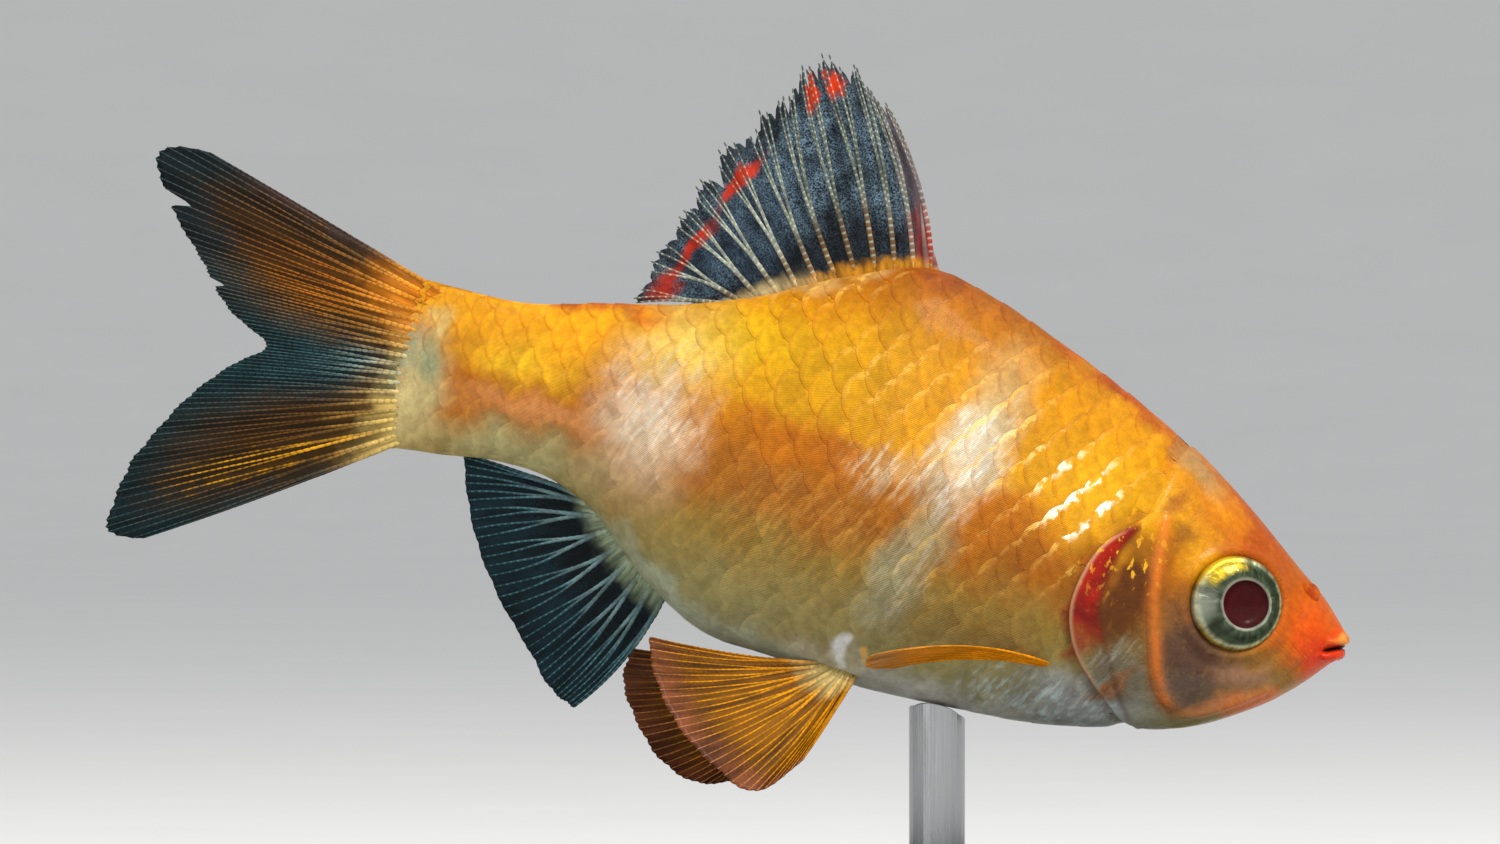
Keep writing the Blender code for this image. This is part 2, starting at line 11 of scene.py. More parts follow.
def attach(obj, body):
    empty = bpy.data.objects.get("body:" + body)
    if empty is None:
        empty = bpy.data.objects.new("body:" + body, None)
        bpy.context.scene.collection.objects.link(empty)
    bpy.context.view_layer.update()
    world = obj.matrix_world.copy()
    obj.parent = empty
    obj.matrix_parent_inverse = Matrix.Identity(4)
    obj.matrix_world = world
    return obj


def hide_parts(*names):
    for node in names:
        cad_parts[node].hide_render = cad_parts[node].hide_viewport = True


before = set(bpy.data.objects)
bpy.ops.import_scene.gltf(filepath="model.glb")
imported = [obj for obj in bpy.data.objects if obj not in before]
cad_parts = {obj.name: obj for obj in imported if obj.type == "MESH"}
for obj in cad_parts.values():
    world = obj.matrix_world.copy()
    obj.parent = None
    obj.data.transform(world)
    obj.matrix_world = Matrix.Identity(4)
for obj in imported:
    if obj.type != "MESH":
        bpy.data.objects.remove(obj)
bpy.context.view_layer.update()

# Body: one skin over head, trunk and tail base, taut over the muscle and thin over the bones of the head.
# The fish is shaped level in its own frame, in millimetres: x runs forward to the snout, y to its left and
# z up. POSE tips it nose down over the stand. Skin under scales lies deeper by the depth of the coat.
MM = 0.001
NOSE_DOWN = math.radians(16.0)
FISH_AT = Vector((8.5, 0.0, 21.73))
POSE = Matrix.Scale(MM, 4) @ Matrix.Translation(FISH_AT) @ Matrix.Rotation(NOSE_DOWN, 4, "Y")
# Distance along the fish, and the height or half width there.
BACK = (
    (-26.2, 4.1), (-25.6, 4.15), (-24.6, 4.2), (-23.0, 4.25), (-21.0, 4.4), (-17.0, 5.5), (-13.0, 6.6),
    (-10.0, 7.85), (-6.0, 10.0), (-1.5, 11.7), (1.5, 11.2), (5.0, 10.1), (9.0, 8.6), (13.0, 6.8),
    (17.0, 4.4), (20.0, 2.3), (22.0, 0.9), (23.1, -0.15),
)
BELLY = (
    (-26.2, -5.0), (-25.6, -4.75), (-24.6, -4.5), (-23.0, -4.3), (-20.0, -3.8), (-17.0, -3.95),
    (-15.0, -4.7), (-11.5, -7.3), (-8.0, -9.1), (-4.0, -9.4), (0.0, -9.65), (5.0, -9.4), (10.0, -8.9),
    (14.0, -7.9), (17.0, -6.9), (19.0, -5.7), (21.0, -4.1), (22.2, -2.8), (23.1, -1.6),
)
HALF_WIDTH = (
    (-26.2, 0.14), (-25.7, 0.22), (-25.2, 0.4), (-24.6, 0.7), (-23.0, 1.2), (-19.0, 1.7), (-15.0, 2.3),
    (-8.0, 3.6), (0.0, 4.5), (6.0, 4.65), (12.0, 4.4), (17.0, 3.6), (20.0, 2.7), (22.0, 1.75), (23.1, 0.7),
)
WIDEST_LEVEL = 0.48
BACK_PINCH, BELLY_PINCH = 1.2, 1.0
RING_POINTS = 180
TRUNK_STEP, HEAD_STEP, HEAD_STARTS = 0.36, 0.15, 8.5
COAT_DEPTH = 0.12
GILL_EDGE = (
    (14.3, 9.0), (12.5, 6.0), (11.6, 2.6), (10.25, 0.75), (9.6, -1.5), (9.6, -3.2), (10.5, -5.0),
    (12.0, -6.5), (13.3, -7.7), (14.6, -8.1),
)
CHEEK_BONE = (
    (12.9, 2.6), (13.1, 1.0), (13.25, -0.5), (13.6, -2.0), (14.1, -3.5), (14.6, -4.9), (15.4, -6.0),
    (16.4, -6.3), (17.6, -5.9), (19.0, -4.9), (20.2, -4.1),
)
JAW_LINE = ((16.0, -7.1), (18.0, -5.9), (20.0, -4.4), (21.4, -2.4))
EYE_AT = (17.35, -0.35)
EYE_RADIUS, EYE_SUNK = 2.45, 0.45
EYE_TURN, EYE_TILT = 16.0, 6.0
# Paths of the folds, shifted by so much, with height and width.
HEAD_FOLDS = (
    (CHEEK_BONE, (0.0, 0.0), 0.2, 0.34), (CHEEK_BONE, (-0.75, -0.1), -0.13, 0.25),
    (JAW_LINE, (0.0, 0.0), -0.1, 0.16),
)
GROOVE_DEPTH, GROOVE_WIDTH = 0.22, 0.35
LID_HEIGHT, LID_AT, LID_WIDTH = 0.17, 0.17, 0.24
SOCKET_DEPTH, SOCKET_FLOOR, SOCKET_RIM = 0.5, -0.5, 0.03
POUCH_DEPTH, POUCH_AT, POUCH_WIDTH = 0.07, 0.85, 0.22
TAIL_ENDS, TAIL_RAGGED = (24.8, 26.2), 0.15


def smooth(x, stations):
    """Values at x of a smooth curve through the stations, whose first values rise."""
    places, values = np.array(stations, float).T
    slopes = np.gradient(values, places)
    x = np.clip(np.asarray(x, float), places[0], places[-1])
    i = np.clip(np.searchsorted(places, x, side="right") - 1, 0, len(places) - 2)
    span = places[i + 1] - places[i]
    t = (x - places[i]) / span
    start = values[i] * (1 + 2 * t) * (1 - t) ** 2 + slopes[i] * span * t * (1 - t) ** 2
    return start + values[i + 1] * t * t * (3 - 2 * t) - slopes[i + 1] * span * t * t * (1 - t)


def smooth_path(points, steps):
    """Points of a smooth curve through the given ones, with so many steps between each two."""
    at = np.linspace(0, len(points) - 1, (len(points) - 1) * steps + 1)
    return np.stack([smooth(at, tuple(enumerate(axis))) for axis in zip(*points)], -1)


def soft_step(value, low, high):
    """0 below low, 1 above high, and a smooth change between."""
    t = np.clip((value - low) / (high - low), 0, 1)
    return t * t * (3 - 2 * t)


def body_point(x, turn):
    """Places on the body at x, turned from the back towards the fish's left."""
    back, belly, width = (smooth(x, edge) for edge in (BACK, BELLY, HALF_WIDTH))
    level = belly + WIDEST_LEVEL * (back - belly)
    side, up = np.sin(turn), np.cos(turn)
    pinch = np.where(up > 0, BACK_PINCH, BELLY_PINCH)
    reach = np.where(up > 0, back - level, level - belly)
    y = np.sign(side) * width * np.abs(side) ** pinch
    return np.stack(np.broadcast_arrays(x, y, level + up * reach), -1)


def unit(vectors):
    return vectors / (np.linalg.norm(vectors, axis=-1, keepdims=True) + 1e-12)


def on_body(x, turn, out):
    """Places on the body, moved out along its normal."""
    step = 0.01
    ahead = body_point(x + step, turn) - body_point(x - step, turn)
    round_it = body_point(x, turn + step) - body_point(x, turn - step)
    return body_point(x, turn) + np.asarray(out)[..., None] * unit(np.cross(ahead, round_it))


def turn_at(x, z):
    """Turn from the back at which the body at x has the height z."""
    back, belly = smooth(x, BACK), smooth(x, BELLY)
    level = belly + WIDEST_LEVEL * (back - belly)
    up = np.where(z > level, (z - level) / (back - level), (z - level) / (level - belly))
    return np.arccos(np.clip(up, -1, 1))


def off_path(x, z, path):
    """Distance of each place from a smooth path in side view."""
    nearest = np.full(np.shape(x), 1e9)
    path = smooth_path(path, 4)
    for start, span in zip(path, np.diff(path, axis=0)):
        t = np.clip(((x - start[0]) * span[0] + (z - start[1]) * span[1]) / (span @ span), 0, 1)
        nearest = np.minimum(nearest, np.hypot(x - start[0] - t * span[0], z - start[1] - t * span[1]))
    return nearest


def ahead_of(x, z, path):
    """How far a place lies ahead of a path that runs down the side."""
    return x - smooth(z, sorted((height, along) for along, height in path))


def bump(distance, width):
    return np.exp(-((distance / width) ** 2))


def relief(x, z):
    """How far the skin stands out from the plain body, from the bones and folds under it."""
    ahead = ahead_of(x, z, GILL_EDGE)
    on_head = soft_step(ahead, 0.3, 1.2)
    out = -COAT_DEPTH * (1 - soft_step(ahead, 0.0, 0.5))
    for path, shift, height, width in HEAD_FOLDS:
        out += height * on_head * bump(off_path(x, z, np.add(path, shift)), width)
    out -= GROOVE_DEPTH * bump(off_path(x, z, GILL_EDGE), GROOVE_WIDTH)
    off_eye = np.hypot(x - EYE_AT[0], z - EYE_AT[1]) - EYE_RADIUS
    out += LID_HEIGHT * bump(off_eye - LID_AT, LID_WIDTH)
    out -= SOCKET_DEPTH * (1 - soft_step(off_eye, SOCKET_FLOOR, SOCKET_RIM))
    out -= POUCH_DEPTH * on_head * bump(off_eye - POUCH_AT, POUCH_WIDTH) * soft_step(-z, -0.5, 1.5)
    return out


def walls(one, other):
    """Quads between two closed rings, given as their points' numbers."""
    return np.stack([one, np.roll(one, -1), np.roll(other, -1), other], -1)


def grid_faces(rows, columns):
    """Quads of a grid of points, and the numbers of the points round its rim."""
    grid = np.arange(rows * columns).reshape(rows, columns)
    quads = np.stack([grid[:-1, :-1], grid[:-1, 1:], grid[1:, 1:], grid[1:, :-1]], -1).reshape(-1, 4)
    return quads, np.concatenate([grid[0], grid[1:, -1], grid[-1, -2::-1], grid[-2:0:-1, 0]])


def lofted(rings):
    """Points and faces of a form through rings of points: its two ends, then its sides."""
    count, around = rings.shape[:2]
    numbers = np.arange(count * around).reshape(count, around)
    sides = [face for one, other in zip(numbers, numbers[1:]) for face in walls(one, other)]
    return rings.reshape(-1, 3), [numbers[0], numbers[-1], *sides]


def shell(top, under):
    """Points and faces of a closed plate between two grids of points."""
    quads, rim = grid_faces(*top.shape[:2])
    below = top.shape[0] * top.shape[1]
    points = np.concatenate([top, under]).reshape(-1, 3)
    return points, [*quads, *(quads + below), *walls(rim, rim + below)]


def turned_out(mesh):
    """Makes every face of a closed mesh point outwards."""
    bm = bmesh.new()
    bm.from_mesh(mesh)
    bmesh.ops.recalc_face_normals(bm, faces=bm.faces)
    if bm.calc_volume(signed=True) < 0:
        bmesh.ops.reverse_faces(bm, faces=bm.faces)
    bm.to_mesh(mesh)
    bm.free()


def new_mesh(name, points, faces=(), edges=()):
    mesh = bpy.data.meshes.new(name)
    mesh.from_pydata(np.asarray(points).tolist(), edges, [tuple(map(int, face)) for face in faces])
    mesh.shade_smooth()
    return mesh


def new_object(name, data):
    made = bpy.data.objects.new(name, data)
    bpy.context.scene.collection.objects.link(made)
    return made


def in_part(name, points, faces=(), edges=(), surface=None):
    """Object from points in the fish's own millimetres, set in the part's frame."""
    mesh = new_mesh(name, points, faces, edges)
    mesh.transform(POSE)
    turned_out(mesh)
    if surface:
        mesh.materials.append(surface)
    return new_object(name, mesh)


def keep(mesh, name, values):
    """Stores a value or a vector with each point of a mesh."""
    values = np.asarray(values, float)
    kind, key = ("FLOAT", "value") if values.ndim == 1 else ("FLOAT_VECTOR", "vector")
    mesh.attributes.new(name, kind, "POINT").data.foreach_set(key, values.ravel())


def plain_mesh(obj):
    """The mesh of an object with its modifiers applied."""
    bpy.context.view_layer.update()
    graph = bpy.context.evaluated_depsgraph_get()
    return bpy.data.meshes.new_from_object(obj.evaluated_get(graph), depsgraph=graph)


def boolean(target, other, operation):
    """Joins the other to the target or cuts it out, and removes it."""
    modifier = target.modifiers.new(other.name, "BOOLEAN")
    modifier.object, modifier.operation, modifier.solver = other, operation, "EXACT"
    mesh = plain_mesh(target)
    target.modifiers.remove(modifier)
    target.data = mesh
    bpy.data.objects.remove(other)


def tube(name, path, radii, sides=16):
    """Closed bent bar along the path, with its own radius at each point."""
    along = unit(np.gradient(path, axis=0))
    across = unit(np.cross(along, (0, 0, 1)))
    over = np.cross(across, along)
    turn = np.linspace(0, 2 * math.pi, sides, endpoint=False)[:, None]
    ring = np.cos(turn) * across[:, None] + np.sin(turn) * over[:, None]
    return in_part(name, *lofted(path[:, None] + radii[:, None, None] * ring))


def body_mesh():
    """The skin as rings of points, closed at both ends and ragged where the tail fin leaves it."""
    first, last = BACK[0][0], BACK[-1][0]
    trunk = np.arange(first, HEAD_STARTS, TRUNK_STEP)
    head = np.linspace(HEAD_STARTS, last, round((last - HEAD_STARTS) / HEAD_STEP))
    turns = np.linspace(-math.pi, math.pi, RING_POINTS, endpoint=False)
    x, turn = np.meshgrid(np.concatenate([trunk, head]), turns, indexing="ij")
    z = body_point(x, turn)[..., 2]
    ragged = TAIL_RAGGED * (np.cos(14 * z) + np.sin(1.9 * z + 0.8)) + 0.2 + 0.6 * soft_step(-z, 1.0, 4.5)
    x = x + ragged * soft_step(-x, *TAIL_ENDS)
    return in_part("skin", *lofted(on_body(x, turn, relief(x, z))))


skin = body_mesh()

# Mouth and nostrils: two fleshy lips round a short, narrow mouth that opens forwards and up, with a
# small flap over the nostril on each side. All are folds of the same skin.
MOUTH_FRONT, MOUTH_CORNER = (23.2, -0.95), (22.3, -1.4)
MOUTH_OPEN, MOUTH_HALF_WIDTH, SLIT_HALF_WIDTH = 0.05, 1.4, 4.0
LIP_RADIUS, LIP_END_RADIUS, LIP_LIFT, LIP_ROUNDNESS = 0.38, 0.18, 0.38, 0.8
LIP_POINTS = 49
MOUTH_MIDDLE, MOUTH_REACH, SOFTENINGS = (22.4, 0.0, -1.2), 2.4, 16
FLOOR_AT, FLOOR_RADII, FLOOR_TILT = (22.85, 0.0, -1.125), (0.55, 0.8, 0.15), 26.6
NOSTRIL_AT, NOSTRIL_RADII, NOSTRIL_TILT = (20.9, 1.25), (0.55, 0.34, 0.42), -30.0
HOLE_SHIFT, HOLE_SIZE = (0.12, 0.3, 0.3), 0.62


def mouth_arc(lift):
    """Path of a lip round the front of the mouth, from corner to corner, moved up by lift."""
    turn = math.pi * (np.linspace(0, 1, LIP_POINTS) - 0.5)
    ahead = np.abs(np.cos(turn)) ** LIP_ROUNDNESS
    x, z = (corner + (front - corner) * ahead for corner, front in zip(MOUTH_CORNER, MOUTH_FRONT))
    return np.stack([x, MOUTH_HALF_WIDTH * np.sin(turn), z + lift], -1)


def ball(name, centre, radii, tilt):
    """Closed smooth ball with its own radius along each axis, tilted in side view."""
    bm = bmesh.new()
    bmesh.ops.create_uvsphere(bm, u_segments=24, v_segments=14, radius=1.0)
    bmesh.ops.scale(bm, vec=radii, verts=bm.verts)
    bmesh.ops.rotate(bm, matrix=Matrix.Rotation(-math.radians(tilt), 3, "Y"), verts=bm.verts)
    points = [vert.co + Vector(centre) for vert in bm.verts]
    faces = [[vert.index for vert in face.verts] for face in bm.faces]
    bm.free()
    return in_part(name, points, faces)


def add_mouth():
    """Two lips, parted by a wedge that is cut between them."""
    swell = np.sin(np.linspace(0, math.pi, LIP_POINTS))
    radii = LIP_END_RADIUS + (LIP_RADIUS - LIP_END_RADIUS) * swell
    for name, lift in (("upper_lip", LIP_LIFT), ("lower_lip", -LIP_LIFT)):
        boolean(skin, tube(name, mouth_arc(lift), radii), "UNION")
    front, corner = np.array(MOUTH_FRONT), np.array(MOUTH_CORNER)
    beyond, half = 2 * front - corner, np.array((0, MOUTH_OPEN / 2))
    outline = (corner, beyond - half, beyond + half)
    points = [(x, y, z) for y in (-SLIT_HALF_WIDTH, SLIT_HALF_WIDTH) for x, z in outline]
    faces = [(0, 1, 2), (5, 4, 3), (0, 3, 4, 1), (1, 4, 5, 2), (2, 5, 3, 0)]
    boolean(skin, in_part("mouth_slit", points, faces), "DIFFERENCE")


def add_nostrils():
    """A swelling on each side, with a hole in its front."""
    x, z = NOSTRIL_AT
    y = float(body_point(x, turn_at(x, z))[1])
    steps = (("UNION", (0, 0, 0), 1.0), ("DIFFERENCE", HOLE_SHIFT, HOLE_SIZE))
    for side in (-1, 1):
        for operation, (ahead, out, up), size in steps:
            radii = [size * radius for radius in NOSTRIL_RADII]
            centre = (x + ahead, side * (y + out), z + up)
            boolean(skin, ball("nostril", centre, radii, NOSTRIL_TILT), operation)


def soften_mouth():
    """Rounds the folds of the skin round the mouth."""
    bm = bmesh.new()
    bm.from_mesh(skin.data)
    middle = POSE @ Vector(MOUTH_MIDDLE)
    near = [vert for vert in bm.verts if (vert.co - middle).length < MOUTH_REACH * MM]
    for _ in range(SOFTENINGS):
        bmesh.ops.smooth_vert(bm, verts=near, factor=0.5, use_axis_x=True, use_axis_y=True, use_axis_z=True)
    bm.to_mesh(skin.data)
    bm.free()


def join(target, others):
    """Puts the others' meshes into the target's."""
    bm = bmesh.new()
    for each in (target, *others):
        bm.from_mesh(each.data)
    bm.to_mesh(target.data)
    bm.free()
    for other in others:
        bpy.data.objects.remove(other)


add_mouth()
add_nostrils()
soften_mouth()
join(skin, [ball("mouth_floor", FLOOR_AT, FLOOR_RADII, FLOOR_TILT)])

# Gill covers: a thin curved plate of bone under the skin on each side, hinged behind the cheek and free at
# its rear edge. Its front sinks into the skin of the head, so plate and head are one piece.
COVER_RISE, COVER_THICK, COVER_SUNK = 0.26, 0.16, 0.1
COVER_STEPS, COVER_ACROSS = 10, 26
EDGE_PART = 0.05
COVER_RIM = (
    (12.3, 3.1), (11.3, 1.95), (10.2, 0.7), (9.6, -0.9), (9.45, -2.6), (9.9, -4.1), (10.8, -5.4),
    (12.1, -6.5), (13.3, -7.3), (14.4, -7.7),
)
COVER_FOLD = (
    (11.75, 1.95), (11.15, 0.7), (10.9, -0.6), (10.85, -2.0), (11.2, -3.3), (11.8, -4.3), (12.7, -5.85),
    (13.8, -7.3),
)
COVER_HINGE = (
    (13.5, 2.9), (13.4, 1.7), (13.45, 0.4), (13.6, -1.0), (13.9, -2.3), (14.3, -3.5), (14.7, -4.6),
    (15.2, -5.6), (15.7, -6.3), (16.2, -6.9),
)


def cover_mesh(side):
    """A closed plate between its free rim and its hinge."""
    rim, hinge = smooth_path(COVER_RIM, COVER_STEPS), smooth_path(COVER_HINGE, COVER_STEPS)
    over = np.linspace(0, 1, COVER_ACROSS) ** 1.6
    x, z = np.moveaxis(rim[:, None] + (hinge - rim)[:, None] * over[:, None], -1, 0)
    down = np.linspace(0, 1, len(rim))[:, None]
    ends = soft_step(down, 0, 0.08) * soft_step(1 - down, 0, 0.1)
    sunk = over ** 2.2
    rise = COVER_RISE * (1 - sunk) * np.sqrt(np.clip(over / EDGE_PART, 0.08, 1)) - COVER_SUNK * sunk
    rise = rise * (0.25 + 0.75 * ends)
    turn, thick = side * turn_at(x, z), COVER_THICK * np.clip(over / EDGE_PART, 0.3, 1)
    return in_part("cover", *shell(on_body(x, turn, rise), on_body(x, turn, rise - thick)))


# The scales are bent on a copy of the skin without the covers, which would draw them out of their rows.
skin.data.shade_smooth()
bare_skin = new_object("bare_skin", skin.data.copy())
join(skin, [cover_mesh(side) for side in (-1, 1)])
skin.data.shade_smooth()
skin.data.set_sharp_from_angle(angle=math.radians(50))

# Markings: the golden colour form has no black bars. Three pale bars stand in their places on gold that
# turns olive and then silver towards the belly, with streaked wisps over them. Skin and scales read the
# same group, in the fish's own millimetres, so the same markings run through both.
FLANK = (
    (-10.0, (176, 172, 146)), (-7.5, (156, 148, 96)), (-4.0, (150, 122, 54)), (-1.6, (166, 98, 14)),
    (0.6, (188, 108, 5)), (1.7, (198, 116, 4)), (2.8, (228, 158, 4)), (7.0, (224, 150, 2)),
    (11.5, (160, 76, 1)),
)
# Place, length, height, tilt and softness of soft ovals, then colour and strength.
PATCHES = (
    (-6.0, 5.0, 7.0, 3.2, 25, 0.9, (212, 156, 4), 0.8),
    (-5.0, -1.4, 6.5, 1.7, -4, 0.9, (164, 98, 28), 0.75),
    (-19.0, 3.6, 6.5, 1.6, 5, 0.8, (244, 166, 12), 0.9),
    (-18.5, 5.2, 8.0, 0.55, 8, 0.9, (196, 84, 2), 0.85),
    (-18.0, -0.6, 5.5, 0.9, 3, 0.9, (224, 150, 88), 0.7),
    (-19.0, -3.0, 5.5, 1.7, 2, 0.8, (178, 174, 122), 0.8),
    (-13.3, 0.3, 3.2, 4.7, 8, 0.8, (208, 176, 138), 0.8),
    (-12.3, 4.6, 3.0, 2.4, 12, 0.9, (240, 206, 96), 0.8),
    (-13.3, 0.5, 1.8, 2.6, 8, 0.9, (226, 206, 180), 0.65),
    (-25.0, -1.2, 2.0, 4.0, 0, 0.8, (206, 192, 132), 0.85),
    (-25.2, 3.8, 1.8, 1.7, 0, 0.7, (232, 158, 18), 0.85),
    (-6.5, 9.7, 5.8, 0.6, 27, 0.9, (214, 170, 100), 0.7),
    (2.9, 4.2, 2.1, 5.0, -10, 0.8, (212, 190, 138), 0.8),
    (2.6, 3.0, 1.6, 2.8, -12, 0.9, (236, 224, 196), 0.7),
    (-0.4, 1.5, 2.8, 1.3, 12, 0.9, (216, 178, 116), 0.6),
    (1.6, -1.2, 1.7, 2.4, -14, 0.8, (160, 150, 108), 0.8),
    (0.6, -4.4, 1.8, 2.8, -14, 0.8, (156, 156, 120), 0.75),
    (13.1, 3.5, 0.4, 0.9, 0, 0.7, (166, 98, 10), 0.85),
    (14.0, 1.9, 1.1, 0.8, 0, 0.8, (140, 88, 10), 0.85),
    (18.2, 3.0, 2.8, 1.3, -33, 0.9, (188, 100, 3), 0.8),
    (18.8, -3.9, 1.5, 0.8, 30, 0.8, (170, 120, 84), 0.7),
    (-24.6, 1.9, 0.6, 1.2, 0, 0.9, (240, 218, 140), 0.6),
    (-24.6, 0.1, 0.9, 1.3, 0, 0.9, (134, 156, 122), 0.7),
    (-6.0, 1.5, 4.5, 1.2, -4, 0.9, (186, 100, 2), 0.7),
    (-9.4, 5.8, 3.0, 1.6, 20, 0.9, (226, 182, 10), 0.7),
    (-12.9, -5.9, 3.4, 0.8, -37, 0.9, (166, 178, 152), 0.55),
    (-20.0, 1.4, 4.0, 1.3, 2, 0.9, (246, 192, 20), 0.8),
    (9.5, 8.4, 7.5, 0.9, -26, 0.9, (186, 72, 4), 0.85),
    (5.0, -9.2, 9.0, 1.5, 0, 0.9, (206, 206, 196), 0.8),
    (11.5, -7.4, 4.2, 1.9, 6, 0.8, (170, 176, 178), 0.85),
    (-9.8, -7.9, 3.6, 0.9, -24, 0.9, (176, 186, 162), 0.6),
    (-5.0, -8.9, 3.5, 0.7, 0, 0.9, (176, 180, 152), 0.6),
    (-1.1, -8.05, 0.65, 0.75, 20, 0.6, (228, 236, 238), 0.95),
    (0.55, -7.9, 0.3, 0.35, 0, 0.6, (240, 190, 96), 0.8),
    (9.3, 2.5, 3.4, 3.0, -25, 0.9, (250, 186, 20), 0.7),
    (17.5, 3.4, 6.0, 3.0, -33, 0.8, (180, 76, 1), 0.92),
    (14.2, 5.3, 2.2, 0.8, -36, 0.6, (176, 138, 84), 0.85),
    (15.9, -3.6, 3.0, 3.1, -10, 0.7, (92, 62, 48), 0.95),
    (16.2, -5.4, 2.4, 1.4, 0, 0.9, (112, 94, 84), 0.7),
    (18.5, -3.8, 1.9, 1.0, 14, 0.9, (176, 128, 98), 0.7),
    (18.2, -5.4, 2.6, 0.55, 31, 0.8, (216, 140, 90), 0.65),
    (15.2, 1.3, 1.4, 1.5, 30, 0.8, (224, 152, 4), 0.85),
    (15.6, 4.0, 1.8, 1.0, -36, 0.9, (236, 146, 4), 0.8),
    (22.0, -0.9, 3.2, 2.4, -30, 0.8, (226, 82, 1), 0.95),
    (22.7, -1.4, 1.9, 1.3, -10, 0.9, (222, 46, 1), 0.9),
    (19.8, -5.0, 2.2, 0.9, 32, 0.8, (222, 104, 34), 0.8),
    (23.3, -0.45, 0.5, 0.4, 0, 0.6, (240, 160, 60), 0.8),
    (12.1, -1.4, 1.9, 3.6, -6, 0.6, (92, 46, 6), 0.95),
    (12.6, 0.9, 1.0, 1.0, 0, 0.8, (160, 100, 16), 0.7),
    (9.9, -2.0, 0.6, 2.4, -3, 0.6, (150, 26, 8), 0.8),
    (10.5, -4.4, 0.7, 1.3, -35, 0.7, (150, 60, 34), 0.8),
    (12.7, -5.4, 1.9, 1.7, -30, 0.8, (108, 100, 84), 0.85),
    (12.3, -6.1, 0.35, 1.6, -40, 0.7, (150, 84, 20), 0.7),
    (-26.2, 0.2, 1.0, 1.5, 0, 0.8, (130, 142, 116), 0.85),
    (20.9, 1.3, 0.4, 0.4, 0, 0.6, (168, 44, 6), 0.7),
)
WISPS = (
    (2.8, 3.3, 2.0, 3.8, -12, 0.8, (250, 246, 232), 0.85),
    (1.0, -3.8, 1.8, 3.4, -16, 0.8, (186, 188, 164), 0.6),
    (-13.2, 1.0, 3.0, 3.8, 8, 0.9, (242, 230, 206), 0.6),
    (-0.7, 1.4, 3.0, 1.6, 12, 0.8, (246, 230, 192), 0.75),
    (9.0, -8.0, 5.0, 1.5, 6, 0.8, (206, 222, 220), 0.8),
    (12.2, -4.9, 1.3, 1.8, -20, 0.8, (176, 180, 164), 0.4),
    # Pale slanted strokes on the lower flank: partly streaks in the skin, partly painted glints of the
    # scale edges.
    (-4.0, -2.6, 8.0, 3.0, 0, 0.9, (220, 160, 70), 0.38),
)
WISP_LEAN = -24
WISP_STRETCH = (0.4, 1.0, 2.4)
# Painted highlights: how strongly glints are painted on scale edges and skin flecks, everywhere and in soft
# ovals: place, length, height, tilt and softness, then strength.
PLAIN_PAINTED_GLINT = 0.05
PAINTED_GLINTS = (
    (8.4, 2.4, 5.0, 4.0, -28, 0.8, 1.0), (3.5, 5.0, 5.0, 4.0, -20, 0.9, 0.75),
    (-2.0, 6.0, 4.0, 3.0, 20, 0.9, 0.5), (3.0, -2.2, 6.0, 3.2, 0, 0.9, 0.25),
    (-14.0, 1.5, 8.0, 3.0, 8, 0.9, 0.15), (11.9, 0.2, 1.9, 2.2, 0, 0.8, 0.8),
    (-6.0, 9.6, 5.5, 1.0, 27, 0.9, 0.6),
)
ENDLESS = 1e4
COAT_ROUGHNESS = 0.12


def paint(red, green, blue):
    """Colour from its sRGB values, out of 255, as a shader takes it."""
    values = (value / 255 for value in (red, green, blue))
    linear = [v / 12.92 if v <= 0.04045 else ((v + 0.055) / 1.055) ** 2.4 for v in values]
    return (*linear, 1.0)


def feed(made, inputs):
    """Links or sets the inputs of a node."""
    for key, value in inputs.items():
        if isinstance(value, bpy.types.NodeSocket):
            value.id_data.links.new(value, made.inputs[key])
        else:
            made.inputs[key].default_value = value


def node(kind, inputs, tree=None, **settings):
    """New node with its settings and inputs, in the given tree or in that of the sockets it is fed."""
    fed = (value.id_data for value in inputs.values() if isinstance(value, bpy.types.NodeSocket))
    made = (tree or next(fed)).nodes.new(kind)
    for name, value in settings.items():
        setattr(made, name, value)
    feed(made, inputs)
    return made


def maths(operation, value, *others):
    for other in others:
        value = node("ShaderNodeMath", {0: value, 1: other}, operation=operation).outputs[0]
    return value


def times(*factors):
    return maths("MULTIPLY", *factors)


def plus(*values):
    return maths("ADD", *values)


def vector(operation, *values):
    return node("ShaderNodeVectorMath", dict(enumerate(values)), operation=operation).outputs[0]


def scaled(value, factor):
    return node("ShaderNodeVectorMath", {0: value, 3: factor}, operation="SCALE").outputs[0]


def length(value):
    return node("ShaderNodeVectorMath", {0: value}, operation="LENGTH").outputs["Value"]


def parts(value):
    return node("ShaderNodeSeparateXYZ", {0: value}).outputs


def ramp(value, low, high, start=0.0, end=1.0):
    """Smooth change of a value from start at low to end at high."""
    inputs = {0: value, 1: low, 2: high, 3: start, 4: end}
    return node("ShaderNodeMapRange", inputs, interpolation_type="SMOOTHSTEP").outputs[0]


def mixed(amount, one, other, kind="MIX"):
    """Colour between two, by the amount."""
    inputs = {0: amount, 6: one, 7: other}
    return node("ShaderNodeMix", inputs, data_type="RGBA", blend_type=kind).outputs[2]


